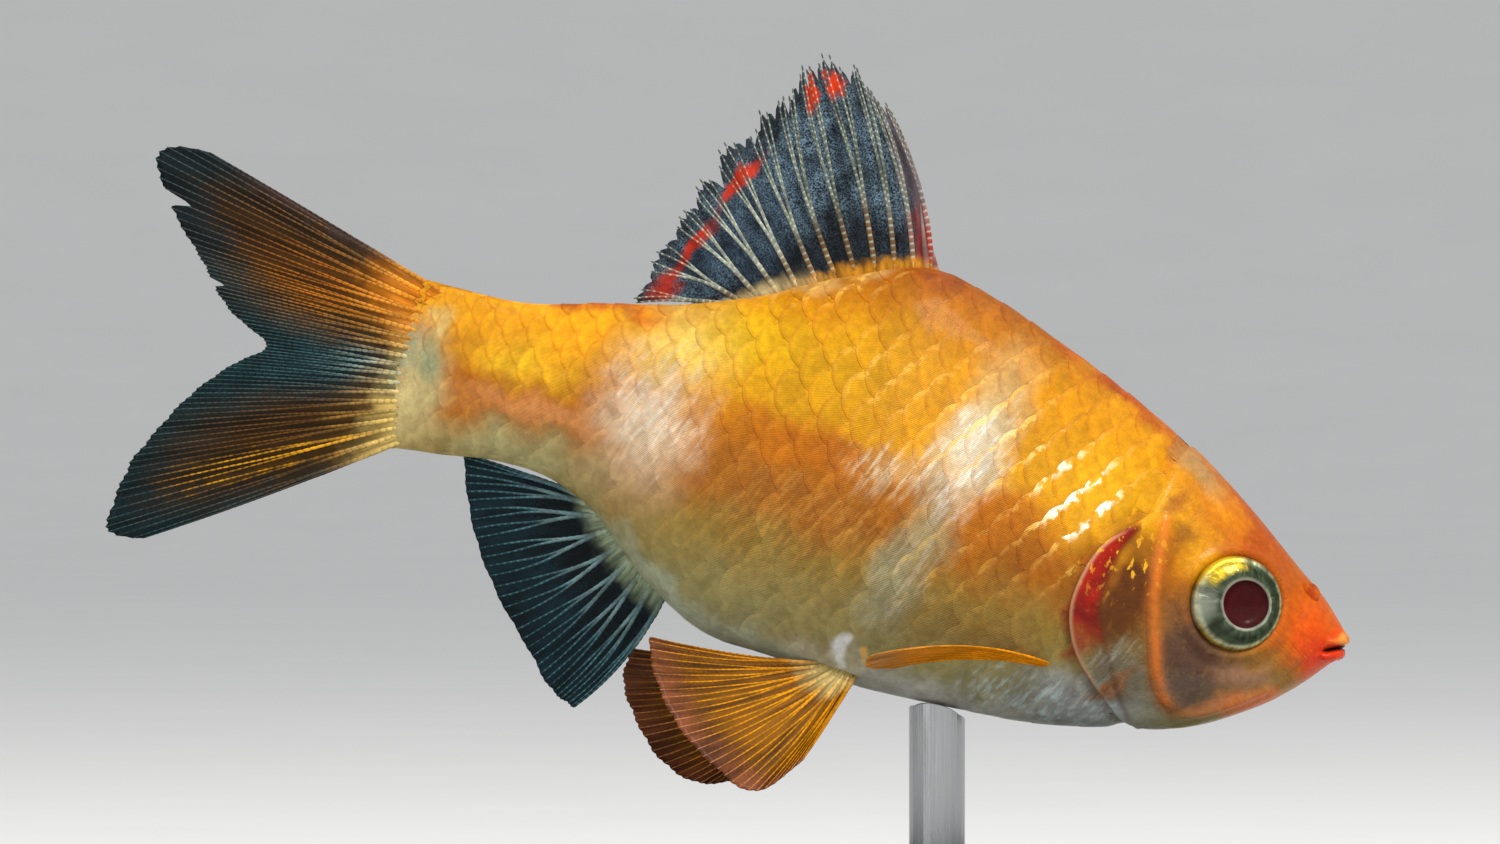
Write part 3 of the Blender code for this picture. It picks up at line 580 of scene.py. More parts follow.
def banded(value, stops):
    """Colour by a value, through stops that each give a value and its colour."""
    low, high = stops[0][0], stops[-1][0]
    level = node("ShaderNodeMapRange", {0: value, 1: low, 2: high}).outputs[0]
    bands = node("ShaderNodeValToRGB", {0: level})
    for _ in stops[2:]:
        bands.color_ramp.elements.new(0.5)
    for stop, (at, shade) in zip(bands.color_ramp.elements, stops):
        stop.position = (at - low) / (high - low)
        stop.color = paint(*shade)
    return bands.outputs["Color"]


def noise(place, scale, detail=3.0, roughness=0.55, output="Fac"):
    inputs = {"Vector": place, "Scale": scale, "Detail": detail, "Roughness": roughness}
    return node("ShaderNodeTexNoise", inputs).outputs[output]


def adrift(place, where, scale, roughness, reach):
    """The place, moved about by soft clouds, as far as reach."""
    drift = vector("SUBTRACT", noise(where, scale, 3.0, roughness, "Color"), (0.5, 0.5, 0.5))
    return vector("MULTIPLY_ADD", drift, reach, place)


def within(place, centre=(0, 0, 0), turn=(0, 0, 0), size=(1, 1, 1)):
    """The place as it is in a frame with the given centre, turn and size."""
    inputs = {"Vector": place, "Location": centre, "Rotation": turn, "Scale": size}
    return node("ShaderNodeMapping", inputs, vector_type="TEXTURE").outputs[0]


def tilted(degrees):
    """Turn in side view, nose up."""
    return (0, -math.radians(degrees), 0)


def patch(place, centre, size, turn, softness):
    """1 inside a soft oval and 0 outside it."""
    away = length(within(place, centre, turn, size))
    return ramp(away, 1.0 - softness, 1.0 + softness / 3, 1.0, 0.0)


def oval(place, x, z, long, tall, tilt, softness):
    """Patch in side view, through the whole width of the fish."""
    return patch(place, (x, 0, z), (long, ENDLESS, tall), tilted(tilt), softness)


def new_tree(name, kind, inputs, outputs):
    """Empty node group, with the sockets it is given and its output node."""
    tree = bpy.data.node_groups.new(name, kind)
    for way, sockets in (("INPUT", inputs), ("OUTPUT", outputs)):
        for label, value in sockets.items():
            tree.interface.new_socket(label, in_out=way, socket_type="NodeSocket" + value)
    return tree, tree.nodes.new("NodeGroupInput").outputs, tree.nodes.new("NodeGroupOutput")


def object_place(tree):
    return node("ShaderNodeTexCoord", {}, tree).outputs["Object"]


def fish_place(tree):
    """Place on the fish, in its own millimetres."""
    return within(object_place(tree), MM * FISH_AT, (0, NOSE_DOWN, 0), (MM, MM, MM))


def marking_group():
    """Colour of the markings, and how strongly glints are painted there."""
    tree, _, end = new_tree("markings", "ShaderNodeTree", {}, {"Colour": "Color", "Painted glint": "Float"})
    place = fish_place(tree)
    wandering = adrift(place, place, 0.55, 0.42, (2.4, 0.0, 2.4))
    colour = banded(parts(wandering)["Z"], FLANK)
    for *shape, shade, strength in PATCHES:
        colour = mixed(times(oval(wandering, *shape), strength), colour, paint(*shade))
    strand = noise(within(place, turn=tilted(WISP_LEAN), size=WISP_STRETCH), 1.5, 4.0)
    strand = ramp(strand, 0.46, 0.66)
    for *shape, shade, strength in WISPS:
        colour = mixed(times(oval(wandering, *shape), strand, strength), colour, paint(*shade))
    painted_glint = PLAIN_PAINTED_GLINT
    for *shape, strength in PAINTED_GLINTS:
        painted_glint = maths("MAXIMUM", painted_glint, times(oval(wandering, *shape), strength))
    mottle = ramp(noise(place, 2.6, 5.0), 0.3, 0.7, 0.72, 0.92)
    feed(end, {"Colour": scaled(colour, mottle), "Painted glint": painted_glint})
    return tree


def finish(name, roughness, coat=0.0, **fixed):
    """New material, its node tree and its shader, with the finish that is the same all over."""
    made = bpy.data.materials.new(name)
    made.use_nodes = True
    shader = made.node_tree.nodes["Principled BSDF"]
    feed(shader, {"Roughness": roughness, "Coat Weight": coat, "Coat Roughness": COAT_ROUGHNESS})
    feed(shader, {label.replace("_", " "): value for label, value in fixed.items()})
    return made, made.node_tree, shader


def attribute(tree, name, output="Fac"):
    return node("ShaderNodeAttribute", {}, tree, attribute_name=name).outputs[output]


def raised(height, depth):
    """Normal of a bump from a height, as deep as the given millimetres."""
    return node("ShaderNodeBump", {"Height": height, "Distance": depth * MM, "Strength": 1.0}).outputs[0]


MARKINGS = marking_group()


def marked(tree):
    """Colour and painted glint of the markings, and the place on the fish."""
    marks = node("ShaderNodeGroup", {}, tree, node_tree=MARKINGS).outputs
    return marks["Colour"], marks["Painted glint"], fish_place(tree)


def skin_material():
    """Wet skin with the markings, orange over the cheek bone, painted shade in the slits and the fold by
    the gill cover, and fine golden flecks that are partly the skin's own specks and partly painted glints.
    """
    made, tree, shader = finish("skin", 0.4, 0.08, Specular_IOR_Level=0.12)
    colour, painted_glint, place = marked(tree)
    bone = times(attribute(tree, "bone"), ramp(noise(place, 1.0), 0.3, 0.6, 0.65), 0.85)
    blood = mixed(ramp(noise(place, 0.9, 2.0), 0.35, 0.7), paint(156, 26, 4), paint(112, 14, 3))
    # Golden flecks: partly the skin's own specks, partly painted glints, as they show only where glints are
    # painted.
    fleck = ramp(noise(vector("MULTIPLY", place, (1.0, 1.0, 0.5)), 3.4, 3.0), 0.57, 0.64)
    # Over the markings: the bone, the gills, painted shade in the fold and the slits, the pale rim, and the
    # flecks where glints are painted.
    for mask, shade in (
        (bone, paint(212, 112, 34)),
        (attribute(tree, "gills"), blood),
        (times(attribute(tree, "fold_shade"), 0.5), paint(74, 30, 10)),
        (attribute(tree, "slit_shade"), paint(60, 12, 5)),
        (times(attribute(tree, "gill_rim"), 0.6), paint(226, 170, 130)),
        (times(fleck, painted_glint), paint(242, 178, 44)),
    ):
        colour = mixed(mask, colour, shade)
    wrinkles = noise(within(place, turn=tilted(-28), size=(1.6, 1.0, 0.28)), 1.6, 3.0)
    wrinkles = times(wrinkles, oval(place, 21.3, -2.0, 3.0, 2.6, 0, 0.9), 2.6)
    grain = plus(noise(place, 7.0, 4.0), noise(place, 1.8, 2.0), wrinkles)
    feed(shader, {"Base Color": colour, "Normal": raised(grain, 0.05)})
    return made


def skin_attributes():
    """Marks the cheek bone, the gills that show through their cover, its pale rim, and painted shade in its
    fold and in the slits under its rim and between the lips, on the skin.
    """
    mesh = skin.data
    points = np.empty(3 * len(mesh.vertices))
    mesh.vertices.foreach_get("co", points)
    back = POSE.inverted()
    x, _, z = (points.reshape(-1, 3) @ np.array(back.to_3x3()).T + back.translation).T
    ahead = ahead_of(x, z, GILL_EDGE)
    bone = bump(off_path(x, z, CHEEK_BONE), 0.32) * soft_step(ahead, 0.5, 1.2)
    off_rim = off_path(x, z, COVER_RIM)
    # Painted shade in the gap under the cover's rim and between the lips.
    slit_shade = 0.8 * bump(off_rim, 0.2) * (1 - soft_step(ahead, -0.1, 0.1))
    slit_shade += bump(off_path(x, z, (MOUTH_CORNER, MOUTH_FRONT)), 0.13) * soft_step(x, 22.2, 22.5)
    gills = soft_step(-ahead_of(x, z, COVER_FOLD), -0.12, 0.12) * soft_step(ahead, -0.15, 0.1)
    rim = bump(off_rim - 0.07, 0.09) * soft_step(ahead, -0.25, 0.0) * soft_step(z, -7.0, -5.0)
    keep(mesh, "bone", bone * (1 - 0.7 * soft_step(x, 15.0, 16.4)))
    keep(mesh, "slit_shade", slit_shade)
    keep(mesh, "gills", gills * soft_step(z, -4.6, -3.0) * (1 - soft_step(z, 1.7, 2.4)))
    # Painted shade along the fold of the gill cover.
    keep(mesh, "fold_shade", bump(off_path(x, z, COVER_FOLD), 0.17) * soft_step(ahead, 0, 0.2))
    keep(mesh, "gill_rim", rim * (1 - soft_step(z, 0.9, 2.1)))


skin_attributes()
skin.data.materials.append(skin_material())
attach(skin, "root")
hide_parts("head", "trunk", "tail_base", "gill_cover_right", "gill_cover_left")

# Scales: thin, round, overlapping plates of bone in rows along each side, rooted in the skin at the front
# and free at the rear. Golden crescents are painted on their rear edges as highlights.
SCALE_ALONG, SCALE_APART = 1.62, 1.3
SCALE_RADII = (1.12, 1.36)
SCALE_THICK, SCALE_RISE, SCALE_SUNK = 0.035, 0.13, -0.04
SCALE_CURVE, SCALE_BEVEL, UNDER_SIZE = 0.02, 0.01, 0.97
SCALE_POINTS = 7
COAT_STARTS, COAT_ENDS = 15.0, -24.7
SHOULDER, SHOULDER_REACH = (9.0, 3.5), 6.0
TAIL_SIZE = ((-26.0, 0.52), (-23.5, 0.66), (-18.0, 0.78), (-9.0, 0.98), (0.0, 1.0), (15.0, 0.94))
PATCH = 0.003
COAT_SEED = 7


def scale_shape():
    """One scale, with its root forwards, as a closed plate. How far a point stands out is kept apart."""
    line = np.linspace(-1, 1, SCALE_POINTS)
    u, v = np.meshgrid(line, line, indexing="ij")
    along, across = u * np.sqrt(1 - v * v / 2), v * np.sqrt(1 - u * u / 2)
    edge = np.maximum(abs(u), abs(v)) > 0.99
    rise = SCALE_SUNK + SCALE_RISE * (along + 1) / 2 - SCALE_CURVE * across ** 2 - SCALE_BEVEL * edge
    quads, rim = grid_faces(SCALE_POINTS, SCALE_POINTS)
    own = np.stack([along, across, 0 * along], -1).reshape(-1, 3)
    own = np.concatenate([own, UNDER_SIZE * own[rim]])
    rise = np.concatenate([rise.ravel(), rise.ravel()[rim] - SCALE_THICK])
    under = SCALE_POINTS ** 2 + np.arange(len(rim))
    points = np.column_stack([own[:, :2] * SCALE_RADII, rise]) * MM
    mesh = new_mesh("scale", points, [*quads, *walls(rim, under), under])
    turned_out(mesh)
    mesh.set_sharp_from_angle(angle=math.radians(40))
    keep(mesh, "rise", rise * MM)
    keep(mesh, "own", own)
    return new_object("scale", mesh)


def coat_roots(side):
    """Roots of the scales of one side: place, turn, size, shade, lift and side."""
    draw = random.Random(COAT_SEED + side)
    turns = np.linspace(0.0, math.pi, 240)
    roots, column, x = [], 0, COAT_STARTS
    while x > COAT_ENDS:
        size = float(smooth(x, TAIL_SIZE))
        ring = body_point(np.full_like(turns, x), turns)
        arc = np.concatenate([[0], np.cumsum(np.linalg.norm(np.diff(ring, axis=0), axis=1))])
        middle = np.interp(math.pi / 2, turns, arc)
        below, apart = arc[-1] - middle, SCALE_APART * size
        for row in range(-int(below / apart) - 1, int(middle / apart) + 2):
            if (row + column) % 2:
                continue
            up = row * apart + draw.uniform(-0.04, 0.04)
            if not 0.1 - below < up < middle - 0.05:
                continue
            turn = np.interp(middle - up, arc, turns)
            z = float(body_point(x, turn)[2])
            ahead = ahead_of(x, z, GILL_EDGE)
            if ahead < 0.1:
                lift = 0.22 + 0.28 * float(soft_step(z, -3.0, 3.0))
                lift += 0.5 * bump(math.hypot(x - SHOULDER[0], z - SHOULDER[1]), SHOULDER_REACH)
                lift *= 0.3 + 0.7 * float(soft_step(-ahead, 0.0, 1.5))
                size_here = size * draw.uniform(0.97, 1.05)
                roots.append((x, side * turn, size_here, draw.uniform(0, 1), lift, side))
        column += 1
        x -= SCALE_ALONG / 2 * size
    return np.array(roots)


def unwrap(x, turn):
    """Place on the skin's own unwrap, along the fish and round it from the belly."""
    return np.stack([(x + 27.0) / 52.0, turn / (2 * math.pi) + 0.5, np.zeros_like(x)], -1)


def coat_points(name, side):
    """Points that carry the scales of one side."""
    x, turn, size, shade, lift, hand = coat_roots(side).T
    here = on_body(x, turn, np.full_like(x, -COAT_DEPTH))
    back = body_point(x - 0.02, turn) - body_point(x + 0.02, turn)
    normal = on_body(x, turn, np.ones_like(x)) - body_point(x, turn)
    matrix = np.array(POSE.to_3x3()) / MM
    turned = []
    for tailward, outward in zip(back @ matrix.T, normal @ matrix.T):
        out = Vector(outward).normalized()
        along = (Vector(tailward) - Vector(tailward).dot(out) * out).normalized()
        turned.append(Matrix((along, out.cross(along), out)).transposed().to_euler())
    made = in_part(name, here)
    fields = {
        "turned": turned, "sized": np.repeat(size[:, None], 3, 1), "root": unwrap(x, turn),
        "shade": shade, "lift": lift, "hand": hand,
    }
    for label, values in fields.items():
        keep(made.data, label, values)
    return made


def geometry_tree(name, **inputs):
    """Empty Geometry Nodes tree with named inputs."""
    inputs = {"Geometry": "Geometry", **inputs, "Finish": "Material"}
    return new_tree(name, "GeometryNodeTree", inputs, {"Geometry": "Geometry"})


def named(tree, label, kind="FLOAT"):
    inputs = {"Name": label}
    return node("GeometryNodeInputNamedAttribute", inputs, tree, data_type=kind).outputs[0]


def grow(carrier, tree, values):
    """Runs a tree on its carrier, and keeps the result as the carrier's plain mesh."""
    modifier = carrier.modifiers.new(tree.name, "NODES")
    modifier.node_group = tree
    for socket in tree.interface.items_tree:
        if socket.in_out == "INPUT" and socket.name in values:
            modifier[socket.identifier] = values[socket.name]
    mesh = plain_mesh(carrier)
    carrier.modifiers.remove(modifier)
    carrier.data = mesh


def coat_tree():
    """Sets a scale on each point, bends it on to the skin and gives it its patch of the unwrap."""
    tree, given, end = geometry_tree("coat of scales", Scale="Object", Skin="Object", Patch="Float")
    shape, body = (
        node("GeometryNodeObjectInfo", {"Object": given[label]}).outputs["Geometry"]
        for label in ("Scale", "Skin")
    )
    turned = node("FunctionNodeEulerToRotation", {0: named(tree, "turned", "FLOAT_VECTOR")}).outputs[0]
    inputs = {
        "Points": given["Geometry"], "Instance": shape, "Rotation": turned,
        "Scale": named(tree, "sized", "FLOAT_VECTOR"),
    }
    placed = node("GeometryNodeInstanceOnPoints", inputs).outputs[0]
    solid = node("GeometryNodeRealizeInstances", {0: placed}).outputs[0]
    foot, normal = (
        node(
            "GeometryNodeSampleNearestSurface",
            {"Mesh": body, "Value": node("GeometryNodeInput" + label, {}, tree).outputs[0]},
            data_type="FLOAT_VECTOR",
        ).outputs[0]
        for label in ("Position", "Normal")
    )
    rise = named(tree, "rise")
    above = times(maths("MAXIMUM", rise, 0.0), named(tree, "lift"))
    place = vector("ADD", foot, scaled(normal, plus(above, maths("MINIMUM", rise, 0.0))))
    bent = node("GeometryNodeSetPosition", {"Geometry": solid, "Position": place}).outputs[0]
    own = scaled(named(tree, "own", "FLOAT_VECTOR"), given["Patch"])
    patched = vector("MULTIPLY_ADD", own, (0.5, 0.5, 0.0), named(tree, "root", "FLOAT_VECTOR"))
    inputs = {"Geometry": bent, "Name": "OFBake", "Value": patched}
    settings = {"data_type": "FLOAT2", "domain": "CORNER"}
    mapped = node("GeometryNodeStoreNamedAttribute", inputs, **settings).outputs[0]
    inputs = {"Geometry": mapped, "Material": given["Finish"]}
    feed(end, {0: node("GeometryNodeSetMaterial", inputs).outputs[0]})
    return tree


def scale_material():
    """The markings, with each scale olive at its middle, darkened to orange at its front as painted shadow
    of the scale over it, and bright at its rear edge with painted highlights."""
    made, tree, shader = finish("scales", 0.42, 0.04, Specular_IOR_Level=0.12)
    colour, painted_glint, place = marked(tree)
    own = attribute(tree, "own", "Vector")
    along, across, _ = parts(own)
    away, cloud = length(own), noise(place, 1.5, 3.0)
    # Painted highlights: a golden crescent along the upper rear edge of each scale, in patches where glints
    # are painted, wider and near white where they are strongest.
    behind = ramp(plus(along, times(across, attribute(tree, "hand"))), 0.4, 1.05)
    white_highlight = times(ramp(cloud, 0.38, 0.52), ramp(painted_glint, 0.6, 1.0))
    wave = ramp(noise(place, 2.4, 4.0), 0.3, 0.7, -0.14, 0.1)
    rim = ramp(plus(away, wave, times(white_highlight, 0.18)), 0.7, 0.88)
    crescent_highlight = times(rim, behind, ramp(cloud, 0.38, 0.54, 0.12, 1.0), painted_glint)
    colour = scaled(colour, ramp(attribute(tree, "shade"), 0.0, 1.0, 0.9, 1.08))
    # Painted shadow: the front of each scale, just behind the edge of the scale over it, is darkened to
    # orange.
    front = times(ramp(along, -0.1, -0.55), 0.22)
    middle = times(ramp(away, 0.8, 0.25), 0.14)
    raised_edge = times(ramp(away, 0.78, 0.95), ramp(along, 0.0, 0.6), 0.25)
    raised_edge = times(raised_edge, ramp(attribute(tree, "lift"), 0.25, 0.5))
    for mask, shade in ((front, (226, 140, 30)), (middle, (150, 120, 20)), (raised_edge, (206, 116, 20))):
        colour = mixed(mask, colour, paint(*shade), "MULTIPLY")
    colour = mixed(crescent_highlight, colour, mixed(white_highlight, paint(240, 190, 84), paint(255, 248, 214)))
    rings = {"Vector": own, "Scale": 5.0, "Distortion": 1.5}
    rings = node("ShaderNodeTexWave", rings, bands_direction="Y").outputs["Fac"]
    height = plus(times(rings, 0.35), noise(place, 6.0))
    feed(shader, {"Base Color": colour, "Metallic": times(crescent_highlight, 0.15), "Normal": raised(height, 0.035)})
    return made


one_scale = scale_shape()
scale_finish = scale_material()
scale_tree = coat_tree()
for side, coat_name in ((-1, "scales_right"), (1, "scales_left")):
    coat = coat_points(coat_name, side)
    grow(coat, scale_tree, {"Scale": one_scale, "Skin": bare_skin, "Patch": PATCH, "Finish": scale_finish})
    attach(coat, "root")
    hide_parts("trunk", "tail_base")
bpy.data.objects.remove(one_scale)
bpy.data.objects.remove(bare_skin)

# Eyes: a ball set in the head, with a silvery iris drawn forward round a dark red pupil, behind a clear
# cornea that bulges from the head. Each is a shape turned round the eye's own axis.
IRIS = (
    (0.0, 0.42), (0.6, 0.44), (1.1, 0.5), (1.2, 0.72), (1.3, 0.84), (1.45, 0.84), (1.6, 0.78),
    (1.85, 0.66), (2.05, 0.55), (2.2, 0.5), (2.3, 0.42), (2.36, 0.25), (2.4, 0.0), (2.2, -0.5),
    (1.6, -0.9), (0.8, -1.05), (0.0, -1.1),
)
CORNEA_RADIUS, CORNEA_BULGE, CORNEA_BACK = 2.38, 1.12, -0.1
PUPIL_SHIFT = (0.46, 0.06)
AROUND, DOME_POINTS = 96, 14
IRIS_RINGS = (
    (0.0, (52, 0, 2)), (1.1, (70, 0, 3)), (1.17, (60, 10, 8)), (1.22, (206, 204, 184)),
    (1.28, (180, 182, 160)), (1.37, (68, 80, 60)), (1.75, (40, 50, 32)), (2.0, (58, 70, 46)),
    (2.15, (150, 154, 122)), (2.33, (136, 104, 26)), (2.4, (56, 38, 12)),
)
# Spots: centre, size, turn, softness, radii, strength and colour. The pale silvery spot at the rear is a
# painted reflection.
IRIS_SPOTS = (
    ((-1.3, 1.5), (1.3, 1.0), 40, 0.6, (1.5, 1.9), 0.8, (226, 190, 40)),
    ((-1.9, -0.6), (0.7, 1.1), 0, 0.8, (1.35, 1.6), 0.5, (176, 182, 166)),
    ((1.1, 1.4), (0.7, 1.1), 0, 0.8, (1.35, 1.6), 0.5, (44, 54, 38)),
)


def eye_frame(side):
    """Frame of an eye, with its axis out of the head along y."""
    x, z = EYE_AT
    y = float(body_point(x, turn_at(x, z))[1]) - EYE_SUNK
    forwards = Matrix.Rotation(math.radians(-side * EYE_TURN), 4, "Z")
    upwards = Matrix.Rotation(math.radians(side * EYE_TILT), 4, "X")
    return Matrix.Translation((x, side * y, z)) @ forwards @ upwards


def turned_shape(name, profile, side, surface, shift=(0.0, 0.0)):
    """Closed shape from a profile of radius and depth, whose middle is drawn aside by shift."""
    profile = np.array(profile, float)
    at = np.linspace(0, 2 * math.pi, AROUND, endpoint=False)
    inner = profile[1:-1]
    drawn = np.clip(1 - (inner[:, 0] / profile[:, 0].max()) ** 2, 0, 1) * (inner[:, 1] > 0)
    flat_x, flat_z = inner[:, :1] * np.cos(at), inner[:, :1] * np.sin(at)
    y = side * np.repeat(inner[:, 1:], AROUND, 1)
    rings = np.stack([flat_x + shift[0] * drawn[:, None], y, flat_z + shift[1] * drawn[:, None]], -1)
    ends = [(shift[0] * (d > 0), side * d, shift[1] * (d > 0)) for d in profile[[0, -1], 1]]
    points, (front, back, *sides) = lofted(rings)
    middles = ((len(points), front), (len(points) + 1, back))
    fans = [(middle, i, j) for middle, ring in middles for i, j in zip(ring, np.roll(ring, -1))]
    placed = np.array(eye_frame(side))
    points = np.concatenate([points, ends]) @ placed[:3, :3].T + placed[:3, 3]
    made = in_part(name, points, [*fans, *sides], surface=surface)
    flat = np.stack([flat_x, flat_z, 0 * flat_x], -1).reshape(-1, 3)
    keep(made.data, "iris", np.concatenate([flat, np.zeros((2, 3))]))
    return made


def dome(radius, bulge):
    turn = np.linspace(0, math.pi / 2, DOME_POINTS)
    return [(radius * math.sin(t), bulge * math.cos(t)) for t in turn]


def iris_material():
    """Rings from the pupil out, streaked along the radius, with a yellow crescent above the rear."""
    made, tree, shader = finish("iris", 0.32, Specular_IOR_Level=0.08)
    place = attribute(tree, "iris", "Vector")
    away, (x, y, _) = length(place), parts(place)
    streak = node("ShaderNodeCombineXYZ", {0: maths("ARCTAN2", y, x), 1: times(away, 0.25)}).outputs[0]
    around = ramp(noise(streak, 5.0, 4.0), 0.32, 0.68, -0.5, 0.6)
    streaks = plus(times(around, ramp(away, 1.2, 1.4)), 1.0)
    colour = scaled(banded(away, IRIS_RINGS), streaks)
    for centre, size, turn, softness, (low, high), strength, shade in IRIS_SPOTS:
        spot = patch(place, (*centre, 0), (*size, ENDLESS), (0, 0, math.radians(turn)), softness)
        colour = mixed(times(spot, ramp(away, low, high), strength), colour, paint(*shade))
    metal = ramp(away, 1.15, 1.3, 0.0, 0.45)
    feed(shader, {"Base Color": colour, "Metallic": metal, "Normal": raised(streaks, 0.03)})
    return made


def cornea_material():
    made, _, shader = finish("cornea", 0.02, Transmission_Weight=1.0, IOR=1.2)
    feed(shader, {"Base Color": (1.0, 1.0, 1.0, 1.0)})
    return made


iris_finish, cornea_finish = iris_material(), cornea_material()
for side, side_name in ((-1, "right"), (1, "left")):
    eyeball = turned_shape("eyeball_" + side_name, IRIS, side, iris_finish, PUPIL_SHIFT)
    lens = [*dome(CORNEA_RADIUS, CORNEA_BULGE), (CORNEA_RADIUS, CORNEA_BACK), (0.0, CORNEA_BACK)]
    cornea = turned_shape("cornea_" + side_name, lens, side, cornea_finish)
    for piece in (eyeball, cornea):
        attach(piece, "root")
        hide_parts("eye_" + side_name)

# Fins: a thin skin held out by jointed rays, which fork twice towards their ends and leave the free edge
# fringed. Rows are places along the root, lean, curl, length and spread of the rays, as on the part.
DORSAL_ROOT = (-1.7, -11.4)
DORSAL_RAYS = (
    (0.0, 107, 27, 8.5, 0), (0.1, 108, 23, 9.3, 0), (0.2, 110, 13, 10.3, 0), (0.31, 116, 8, 11.2, 1),
    (0.42, 128, -16, 10.5, 2), (0.53, 130, -10, 8.9, 2), (0.64, 133, 3, 7.7, 1), (0.74, 141, 4, 6.4, 0),
    (0.84, 149, 5, 5.4, -1), (0.92, 165, 13, 4.6, -1), (1.0, 188, 15, 4.3, 0),
)
ANAL_ROOT = (-10.1, -15.7)
ANAL_RAYS = (
    (0.0, 262, -30, 7.2, 0), (0.2, 254, -18, 7.3, 1), (0.36, 244, -16, 6.8, 2),
    (0.55, 228, -22, 6.6, 1), (0.75, 194, 12, 6.3, 0), (0.88, 180, 16, 6.1, -1), (1.0, 174, 5, 5.9, 0),
)
CAUDAL_ROOT = ((-25.0, 3.7), (-25.0, -4.2))
CAUDAL_RAYS = (
    (0.0, 164, 2, 13.6, 4), (0.025, 166, 1, 15.3, 4), (0.06, 169, 0, 15.9, 4), (0.1, 172, 0, 15.1, 4),
    (0.18, 178, 0, 12.9, 3),
    (0.28, 181, 0, 11.3, 2), (0.39, 184, 1, 9.7, 1), (0.5, 187, 2, 7.7, 0), (0.6, 190, 2, 9.3, -1),
    (0.7, 195, 2, 11.2, -2), (0.8, 202, 1, 13.0, -3), (0.9, 209, 0, 14.4, -3), (0.94, 213, -1, 15.0, -3),
    (0.975, 216, -3, 14.8, -3), (1.0, 219, -5, 13.4, -3),
)
PELVIC_ROOT = ((0.2, -9.2), (-1.5, -9.1))
PELVIC_RIGHT = (
    (0.0, 256, -6, 8.0, 52), (0.2, 254, -14, 9.8, 41), (0.4, 240, -18, 10.2, 39),
    (0.6, 224, -18, 10.2, 35), (0.8, 208, -14, 9.8, 29), (1.0, 192, -10, 9.2, 19),
)
PELVIC_LEFT = (
    (0.0, 246, -14, 8.6, 24), (0.2, 240, -14, 10.0, 20), (0.4, 230, -15, 10.7, 17),
    (0.6, 218, -15, 10.8, 15), (0.8, 207, -12, 10.6, 13), (1.0, 197, -10, 9.8, 12),
)
PECTORAL_ROOT = ((9.35, -5.88), (9.3, -6.02))
PECTORAL_RAYS = (
    (0.0, 174, 30, 9.2, 40), (0.25, 176, 32, 10.7, 34), (0.5, 178.5, 32, 10.5, 28),
    (0.75, 181, 30, 9.8, 22), (1.0, 184, 25, 8.2, 16),
)
SPINES = (((-1.5, 11.5), (-2.2, 12.95)), ((-1.95, 11.5), (-3.3, 14.9)))
MEMBRANE, MARGIN = 0.08, 0.04
RAY_RADIUS, TIP_RADIUS, SPINE_RADIUS = 0.165, 0.085, 0.2
RAY_SIDES, SPINE_POINTS = 6, 12
SEGMENT = 0.34
RAY_STARTS, ROOT_SUNK = -0.04, 0.25
SHEET_STARTS, SHEET_ROWS, SHEET_COLUMNS = -0.02, 34, 12
RAY_SEED = 4


def fan(root_at, rays, side):
    """Place in a fin from the part of its root and the part of a ray's length, which may pass 1."""
    keys = [[(row[0], row[n]) for row in rays] for n in range(1, 5)]

    def place(s, t):
        row = np.clip(s, 0, 1)
        lean, curl, whole, spread = (smooth(row, axis) for axis in keys)
        heading = np.radians(lean + curl * t / 2)
        reach = whole * t * np.sinc(np.radians(curl) * t / (2 * math.pi))
        out = np.radians(spread)
        flat = np.cos(out)
        ahead = np.stack([np.cos(heading) * flat, side * np.sin(out), np.sin(heading) * flat], -1)
        return root_at(s) + reach[..., None] * ahead

    return place


def along_edge(ends, edge):
    """Root of a fin in the middle plane, just under the back or the belly."""

    def root(s):
        x = ends[0] + (ends[1] - ends[0]) * s
        z = smooth(x, edge)
        return np.stack([x, np.zeros_like(x), z - ROOT_SUNK * np.sign(z)], -1)

    return root


def across_tail(s):
    (x, top), (_, low) = CAUDAL_ROOT
    return np.stack([np.full_like(s, x), np.zeros_like(s), top + (low - top) * s], -1)


def on_flank(ends, side):
    """Root of a paired fin, on the body's side."""

    def root(s):
        x, z = (start + (end - start) * s for start, end in zip(*ends))
        return on_body(x, side * turn_at(x, z), np.full_like(x, -ROOT_SUNK))

    return root


def edge_of(s, lengths, build):
    """How far the fin's skin reaches along the rays, with a fringe between the forks' ends."""
    at = s * (len(lengths) - 1)
    between = at - np.floor(at)
    reach = np.interp(at, np.arange(len(lengths)), lengths) + 0.012
    reach = reach - build.notch * np.sin(math.pi * between) ** 4
    reach = reach - build.fringe * np.cos(4 * math.pi * between) ** 2
    return reach - sum(depth * bump(s - where, width) for where, width, depth in build.tears)


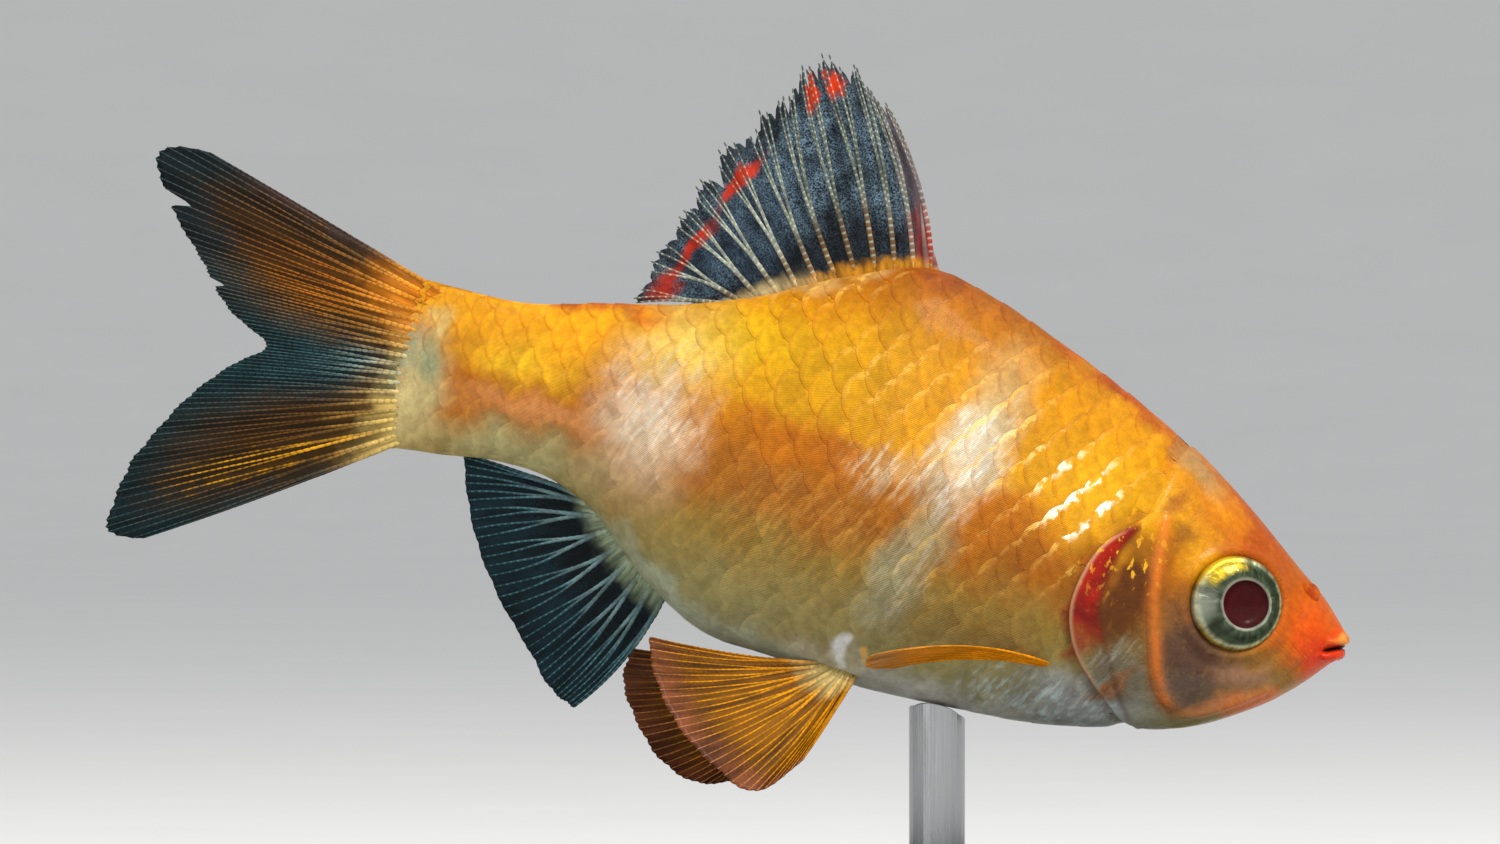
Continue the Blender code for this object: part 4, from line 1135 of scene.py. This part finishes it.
def fin_sheet(name, place, lengths, build, surface):
    """The fin's skin as a closed sheet that thins to its edge and is fleshy at its root."""
    s = np.linspace(0, 1, (len(lengths) - 1) * SHEET_COLUMNS + 1)
    t = np.linspace(SHEET_STARTS, 1, SHEET_ROWS)[:, None] * edge_of(s, lengths, build)
    s = np.broadcast_to(s, t.shape)
    step = 1e-3
    across = place(s + step, np.maximum(t, 0.05)) - place(s - step, np.maximum(t, 0.05))
    along = place(s, t + step) - place(s, t - step)
    half = (MARGIN + (MEMBRANE - MARGIN) * (1 - np.clip(t, 0, 1))) / 2 + build.flesh * bump(t, 0.06)
    half[-1] *= 0.5
    lift = half[..., None] * unit(np.cross(across, along))
    made = in_part(name, *shell(place(s, t) + lift, place(s, t) - lift), surface=surface)
    spot = np.stack([s, t, 0 * t], -1).reshape(-1, 3)
    keep(made.data, "fan", np.concatenate([spot, spot]))
    return made


def ray_lines(name, place, rays, lengths, build):
    """Middle lines of the rays and their forks, with a radius at each point and a joint at each segment."""
    lines = []
    spacing = 1 / (len(lengths) - 1)
    forks, wide = build.forks, spacing * build.spread
    starts = {(1, 1): RAY_STARTS, (-1, 1): forks[0], (1, -1): forks[1], (-1, -1): forks[1]}
    for k in range(len(lengths)):
        ray_length = float(smooth(k * spacing, [(row[0], row[3]) for row in rays]))
        for (first, second), start in starts.items():
            end_s = np.clip(k * spacing + wide * (first + second / 2), 0, 1)
            end = float(edge_of(end_s, lengths, build)) + build.past
            segments = round(ray_length * (end - start) / SEGMENT)
            t = np.linspace(start, end, max(3 * segments, 6) + 1)
            opened = [1 - (1 - np.clip((t - fork) / build.over, 0, 1)) ** 1.6 for fork in forks]
            s = np.clip(k * spacing + wide * (first * opened[0] + second / 2 * opened[1]), 0, 1)
            bead = np.where(np.arange(len(t)) % 3 == 0, 0.0, 1.0)
            slim = 1 - sum(less * soft_step(t, fork, fork + 0.1) for less, fork in zip((0.25, 0.2), forks))
            radius = TIP_RADIUS + (RAY_RADIUS - TIP_RADIUS) * (1 - np.clip(t, 0, 1))
            radius *= build.thick * slim * (0.8 + 0.2 * bead)
            radius[-1] *= 0.4
            lines.append((place(s, t), s, t, radius, bead))
    for foot, tip in SPINES if name == "dorsal_fin" else ():
        t = np.linspace(0, 1, SPINE_POINTS)
        x, z = (low + (high - low) * t for low, high in zip(foot, tip))
        spine = np.stack([x, 0 * t, z], -1)
        lines.append((spine, 0 * t - 0.05, 0.5 * t, SPINE_RADIUS * (1.08 - t), 0 * t + 1))
    points, s, t, radii, beads = (np.concatenate(column) for column in zip(*lines))
    breaks = set(np.cumsum([len(line[0]) for line in lines]).tolist())
    edges = [(i, i + 1) for i in range(len(points) - 1) if i + 1 not in breaks]
    made = in_part(name + "_rays", points, edges=edges)
    keep(made.data, "fan", np.stack([s, t, 0 * t], -1))
    keep(made.data, "thick", radii * MM)
    keep(made.data, "bead", beads)
    return made


def ray_tree():
    """Sweeps a round section along each line, as thick as its points say."""
    tree, given, end = geometry_tree("fin rays", Sides="Int")
    lines = node("GeometryNodeMeshToCurve", {0: given["Geometry"]}).outputs[0]
    circle = {"Resolution": given["Sides"], "Radius": 1.0}
    circle = node("GeometryNodeCurvePrimitiveCircle", circle).outputs[0]
    inputs = {"Curve": lines, "Profile Curve": circle, "Scale": named(tree, "thick"), "Fill Caps": True}
    swept = node("GeometryNodeCurveToMesh", inputs).outputs[0]
    shaded = node("GeometryNodeSetShadeSmooth", {0: swept}).outputs[0]
    solid = node("GeometryNodeRealizeInstances", {0: shaded}).outputs[0]
    inputs = {"Geometry": solid, "Material": given["Finish"]}
    feed(end, {0: node("GeometryNodeSetMaterial", inputs).outputs[0]})
    return tree


def fin_materials(name, base, ray_base, speck, joint_look, patches, alpha):
    """Finishes of a fin's skin and rays: a base colour each, and soft patches over both."""
    made = []
    joint_shade, joint_strength = joint_look
    for kind, colour in (("skin", paint(*base)), ("rays", paint(*ray_base))):
        ray = kind == "rays"
        surface, tree, shader = finish(f"{name}_{kind}", 0.42, 0.04, Specular_IOR_Level=0.08)
        place, where = attribute(tree, "fan", "Vector"), fish_place(tree)
        moved = adrift(place, where, 1.2, 0.5, (0.1, 0.16, 0.0))
        if not ray:
            mist = ramp(noise(where, 12.0, 4.0), 0.35, 0.75, 0.0, 0.9)
            colour = mixed(times(mist, ramp(noise(where, 0.9), 0.2, 0.6)), colour, paint(*speck))
        for s, t, wide, tall, tilt, on_skin, on_rays in patches:
            shade, strength = on_rays if ray else on_skin
            mask = patch(moved, (s, t, 0), (wide, tall, ENDLESS), (0, 0, math.radians(tilt)), 0.7)
            colour = mixed(times(mask, strength), colour, paint(*shade))
        if ray:
            joint = ramp(attribute(tree, "bead"), 0.0, 0.8, joint_strength, 0.0)
            colour = mixed(joint, colour, paint(*joint_shade))
            streak = noise(vector("MULTIPLY", place, (60, 5, 0)), 1.0)
            mottle = ramp(streak, 0.3, 0.7, 0.55, 1.35)
        else:
            streak = noise(vector("MULTIPLY", place, (24, 2.5, 0)), 1.0, 4.0)
            mottle = ramp(streak, 0.32, 0.66, 0.45, 1.3)
            feed(shader, {"Alpha": ramp(noise(where, 1.1), 0.3, 0.7, alpha, 1.0)})
        bump_normal = raised(noise(where, 5.0, 4.0), 0.04)
        feed(shader, {"Base Color": scaled(colour, mottle), "Normal": bump_normal})
        made.append(surface)
    return made


# Colours of skin, rays and specks, of the joints with their strength, then soft patches, then the alpha. A
# patch has its place, width and height in the fan, its tilt, and a colour and strength on skin and on rays.
FIN_LOOKS = {
    "dorsal_fin": ((12, 17, 24), (98, 104, 94), (112, 138, 154), ((206, 212, 192), 0.45), (
        (0.5, 0.12, 0.7, 0.22, 0, ((10, 10, 14), 0.85), ((110, 76, 40), 0.85)),
        (0.75, 0.5, 0.3, 0.4, 0, ((30, 44, 60), 0.5), ((150, 156, 142), 0.7)),
        (0.5, 1.0, 0.7, 0.16, 0, ((26, 30, 34), 0.8), ((78, 84, 84), 0.8)),
        (0.0, 0.4, 0.12, 0.8, 0, ((84, 72, 76), 0.85), ((122, 108, 106), 0.9)),
        (0.02, 0.1, 0.08, 0.3, 0, ((120, 24, 8), 0.85), ((160, 40, 20), 0.85)),
        (0.27, 0.88, 0.03, 0.07, 0, ((196, 50, 8), 0.95), ((206, 60, 12), 0.95)),
        (0.36, 0.86, 0.025, 0.1, 0, ((176, 46, 8), 0.95), ((190, 60, 16), 0.9)),
        (0.64, 0.8, 0.09, 0.06, -8, ((180, 42, 6), 0.95), ((186, 60, 20), 0.8)),
        (0.86, 0.74, 0.12, 0.07, 0, ((160, 34, 6), 0.9), ((170, 60, 28), 0.8)),
        (0.97, 0.72, 0.05, 0.2, 0, ((150, 34, 10), 0.85), ((170, 60, 28), 0.8)),
        (0.3, 0.0, 0.5, 0.08, 0, ((186, 124, 20), 0.9), ((214, 140, 20), 0.9)),
        (0.8, 0.0, 0.3, 0.14, 0, ((170, 150, 104), 0.85), ((190, 170, 120), 0.9)),
    ), 0.92),
    "anal_fin": ((2, 8, 12), (46, 76, 82), (14, 44, 54), ((110, 140, 142), 0.3), (
        (0.5, 1.0, 0.8, 0.45, 0, ((6, 26, 32), 0.9), ((22, 52, 58), 0.9)),
        (0.5, 0.3, 0.7, 0.22, 0, ((1, 3, 5), 0.6), ((104, 126, 126), 0.65)),
        (0.5, 0.0, 0.9, 0.17, 0, ((134, 146, 116), 0.9), ((140, 152, 126), 0.9)),
    ), 0.95),
    "caudal_fin": ((4, 18, 22), (40, 66, 68), (16, 46, 50), ((20, 18, 14), 0.35), (
        (0.2, 0.34, 0.27, 0.74, 0, ((50, 30, 2), 0.95), ((122, 76, 6), 0.95)),
        (0.12, 0.6, 0.1, 0.3, 0, ((40, 24, 4), 0.9), ((92, 54, 10), 0.9)),
        (0.2, 0.34, 0.12, 0.4, 0, ((80, 44, 1), 0.6), ((168, 94, 5), 0.7)),
        (0.84, 0.34, 0.2, 0.72, 0, ((40, 24, 1), 0.95), ((84, 50, 4), 0.95)),
        # A narrow golden band on the rays of the lower lobe, a painted highlight.
        (0.9, 0.42, 0.04, 0.5, 0, ((70, 44, 2), 0.5), ((220, 156, 14), 0.65)),
        (0.52, 0.2, 0.1, 0.4, 0, ((8, 26, 34), 0.9), ((108, 130, 122), 0.9)),
        (0.0, 0.5, 0.03, 0.6, 0, ((58, 40, 34), 0.85), ((70, 52, 46), 0.9)),
        (0.1, 1.05, 0.3, 0.3, 0, ((10, 22, 26), 0.9), ((40, 58, 58), 0.9)),
        (0.9, 1.1, 0.3, 0.22, 0, ((8, 24, 28), 0.9), ((36, 60, 62), 0.9)),
        (0.5, 0.02, 0.8, 0.34, 0, ((96, 66, 20), 0.4), ((206, 158, 76), 0.45)),
        (0.5, -0.03, 2.0, 0.21, 0, ((186, 158, 88), 0.95), ((204, 176, 100), 0.95)),
        (0.12, -0.03, 0.34, 0.3, 0, ((204, 114, 6), 0.95), ((220, 132, 10), 0.95)),
        (0.54, -0.02, 0.18, 0.21, 0, ((116, 132, 110), 0.9), ((150, 160, 132), 0.9)),
    ), 0.95),
    "pelvic_fin": ((70, 38, 0), (176, 112, 0), (128, 78, 0), ((60, 36, 6), 0.15), (
        # Brighter gold in the middle of the fin, partly its own colour and partly a painted highlight.
        (0.5, 0.5, 0.5, 0.4, 0, ((124, 76, 0), 0.7), ((196, 132, 2), 0.8)),
        (0.5, 1.06, 0.9, 0.24, 0, ((112, 60, 36), 0.85), ((158, 104, 74), 0.85)),
        (0.5, 0.04, 0.7, 0.2, 0, ((168, 150, 92), 0.85), ((196, 176, 112), 0.85)),
    ), 0.95),
    "pectoral_fin": ((206, 116, 2), (222, 136, 6), (226, 150, 20), ((150, 90, 10), 0.2), (
        (0.5, 0.95, 0.9, 0.2, 0, ((180, 120, 50), 0.7), ((200, 140, 60), 0.7)),
    ), 0.85),
}
DORSAL_TEARS = ((0.36, 0.012, 0.07), (0.45, 0.02, 0.1), (0.56, 0.015, 0.09), (0.68, 0.015, 0.08))
CAUDAL_TEARS = ((0.115, 0.008, 0.1), (0.3, 0.008, 0.05))
Build = namedtuple("Build", "slot count forks over spread thick past fringe notch uneven flesh tears")
FIN_BUILDS = {
    "dorsal_fin": Build(
        "dark_fin", 12, (0.28, 0.5), 0.6, 0.2, 1.05, 0.035, 0.05, 0.05, 0.02, 0.12, DORSAL_TEARS
    ),
    "anal_fin": Build("dark_fin", 9, (0.12, 0.36), 0.5, 0.24, 1.15, 0.002, 0.006, 0.01, 0.006, 0.14, ()),
    "caudal_fin": Build(
        "tail_fin", 19, (0.08, 0.28), 0.42, 0.25, 0.8, 0.002, 0.008, 0.008, 0.014, 0.05, CAUDAL_TEARS
    ),
    "pelvic_fin": Build("warm_fin", 8, (0.08, 0.26), 0.45, 0.25, 0.9, 0.0, 0.008, 0.008, 0.006, 0.15, ()),
    "pectoral_fin": Build("warm_fin", 8, (0.15, 0.4), 0.5, 0.25, 0.6, 0.0, 0.012, 0.01, 0.006, 0.02, ()),
}
fin_finishes = {name: fin_materials(name, *looks) for name, looks in FIN_LOOKS.items()}
sweep = ray_tree()


def add_fin(node_name, root_at, rays, side=1):
    """Skin and rays of one fin, in place of its solid."""
    kind = node_name.removesuffix("_right").removesuffix("_left")
    build, place = FIN_BUILDS[kind], fan(root_at, rays, side)
    draw = random.Random(RAY_SEED)
    lengths = [1 + draw.uniform(-1, 1) * build.uneven for _ in range(build.count)]
    on_skin, on_rays = fin_finishes[kind]
    sheet = fin_sheet(node_name + "_skin", place, lengths, build, on_skin)
    lines = ray_lines(node_name, place, rays, lengths, build)
    grow(lines, sweep, {"Sides": RAY_SIDES, "Finish": on_rays})
    for piece in (sheet, lines):
        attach(piece, "root")
        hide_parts(node_name)


add_fin("dorsal_fin", along_edge(DORSAL_ROOT, BACK), DORSAL_RAYS)
add_fin("anal_fin", along_edge(ANAL_ROOT, BELLY), ANAL_RAYS)
add_fin("caudal_fin", across_tail, CAUDAL_RAYS)
for side, side_name, pelvic_rays in ((-1, "right", PELVIC_RIGHT), (1, "left", PELVIC_LEFT)):
    add_fin("pelvic_fin_" + side_name, on_flank(PELVIC_ROOT, side), pelvic_rays, side)
    add_fin("pectoral_fin_" + side_name, on_flank(PECTORAL_ROOT, side), PECTORAL_RAYS, side)

# Stand: a dark plastic block with rounded corners, moulded with a satin grain, and a brushed steel rod that
# is pressed into it and carries the fish under the belly. Both are the part's own solids.


def plastic_material():
    made, tree, shader = finish("plastic", 0.4)
    where = object_place(tree)
    grain = noise(where, 4000.0, 3.0)
    colour = mixed(grain, paint(44, 45, 47), paint(58, 59, 61))
    rough = ramp(noise(where, 300.0, 4.0), 0.3, 0.7, 0.32, 0.46)
    feed(shader, {"Base Color": colour, "Roughness": rough, "Normal": raised(grain, 0.015)})
    return made


def steel_material():
    made, tree, shader = finish("steel", 0.25, Metallic=1.0)
    drawn = {"Vector": object_place(tree), "Scale": (9000, 9000, 150)}
    brushed = noise(node("ShaderNodeMapping", drawn).outputs[0], 1.0, 3.0)
    colour = mixed(brushed, paint(150, 152, 154), paint(196, 198, 200))
    rough = ramp(brushed, 0.2, 0.8, 0.2, 0.36)
    feed(shader, {"Base Color": colour, "Roughness": rough, "Normal": raised(brushed, 0.01)})
    return made


for node_name, surface in (("stand_base", plastic_material()), ("stand_rod", steel_material())):
    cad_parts[node_name].data.materials.clear()
    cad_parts[node_name].data.materials.append(surface)

# Studio: a level camera far off to the fish's right, as the photograph was taken, a pale floor that sweeps
# up far behind on all sides, a large soft light above the head and a fainter one from the tail.
PICTURE_WIDTH = 1500
PIXEL = 0.05
VIEW_CENTRE = (0.95, 25.65)
CAMERA_AWAY, SENSOR = 700.0, 36.0
FLOOR_CAP, FLOOR_FLAT, FLOOR_END, SWEEP_HEIGHT = 0.3, 1.5, 2.6, 0.5
FLOOR_AROUND, SWEEP_POINTS = 128, 24
LIT_PLACE = Vector((0, 0, 0.022))


def add_camera():
    data = bpy.data.cameras.new("camera")
    data.sensor_width = SENSOR
    data.lens = SENSOR * CAMERA_AWAY / (PICTURE_WIDTH * PIXEL)
    data.clip_start, data.clip_end = 0.05, 10.0
    made = new_object("camera", data)
    made.location = MM * Vector((VIEW_CENTRE[0], -CAMERA_AWAY, VIEW_CENTRE[1]))
    made.rotation_euler = (math.pi / 2, 0, 0)
    bpy.context.scene.camera = made


def add_floor():
    """Round floor that turns up into a wall, as one surface."""
    turn = np.linspace(math.pi / 2, 0, SWEEP_POINTS)
    reach = np.append(FLOOR_FLAT + (FLOOR_END - FLOOR_FLAT) * np.sin(turn), FLOOR_CAP)[:, None]
    rise = np.append(SWEEP_HEIGHT * (1 - np.cos(turn)), 0.0)
    at = np.linspace(0, 2 * math.pi, FLOOR_AROUND, endpoint=False)
    rise = np.repeat(rise[:, None], FLOOR_AROUND, 1)
    points, (_, *faces) = lofted(np.stack([reach * np.cos(at), reach * np.sin(at), rise], -1))
    mesh = new_mesh("floor", points, faces)
    made, tree, shader = finish("floor", 0.8)
    tone = mixed(noise(object_place(tree), 40.0), paint(222, 222, 220), paint(228, 228, 226))
    feed(shader, {"Base Color": tone})
    mesh.materials.append(made)
    new_object("floor", mesh)


def add_light(name, place, size, watts, colour=(1, 1, 1)):
    """Square soft light that faces the fish."""
    data = bpy.data.lights.new(name, "AREA")
    data.size, data.energy, data.color = size, watts, colour
    made = new_object(name, data)
    made.location = place
    made.rotation_euler = (LIT_PLACE - Vector(place)).to_track_quat("-Z", "Y").to_euler()


def add_studio():
    add_light("key", (0.2, -0.3, 0.55), 0.22, 4.2, (1.0, 0.98, 0.95))
    add_light("fill", (-0.5, -0.6, 0.3), 0.4, 1.2)
    world = bpy.data.worlds.new("studio")
    world.use_nodes = True
    feed(world.node_tree.nodes["Background"], {"Color": (0.96, 0.97, 1.0, 1.0), "Strength": 0.62})
    bpy.context.scene.world = world
    bpy.context.scene.view_settings.view_transform = "Standard"


add_camera()
add_floor()
add_studio()
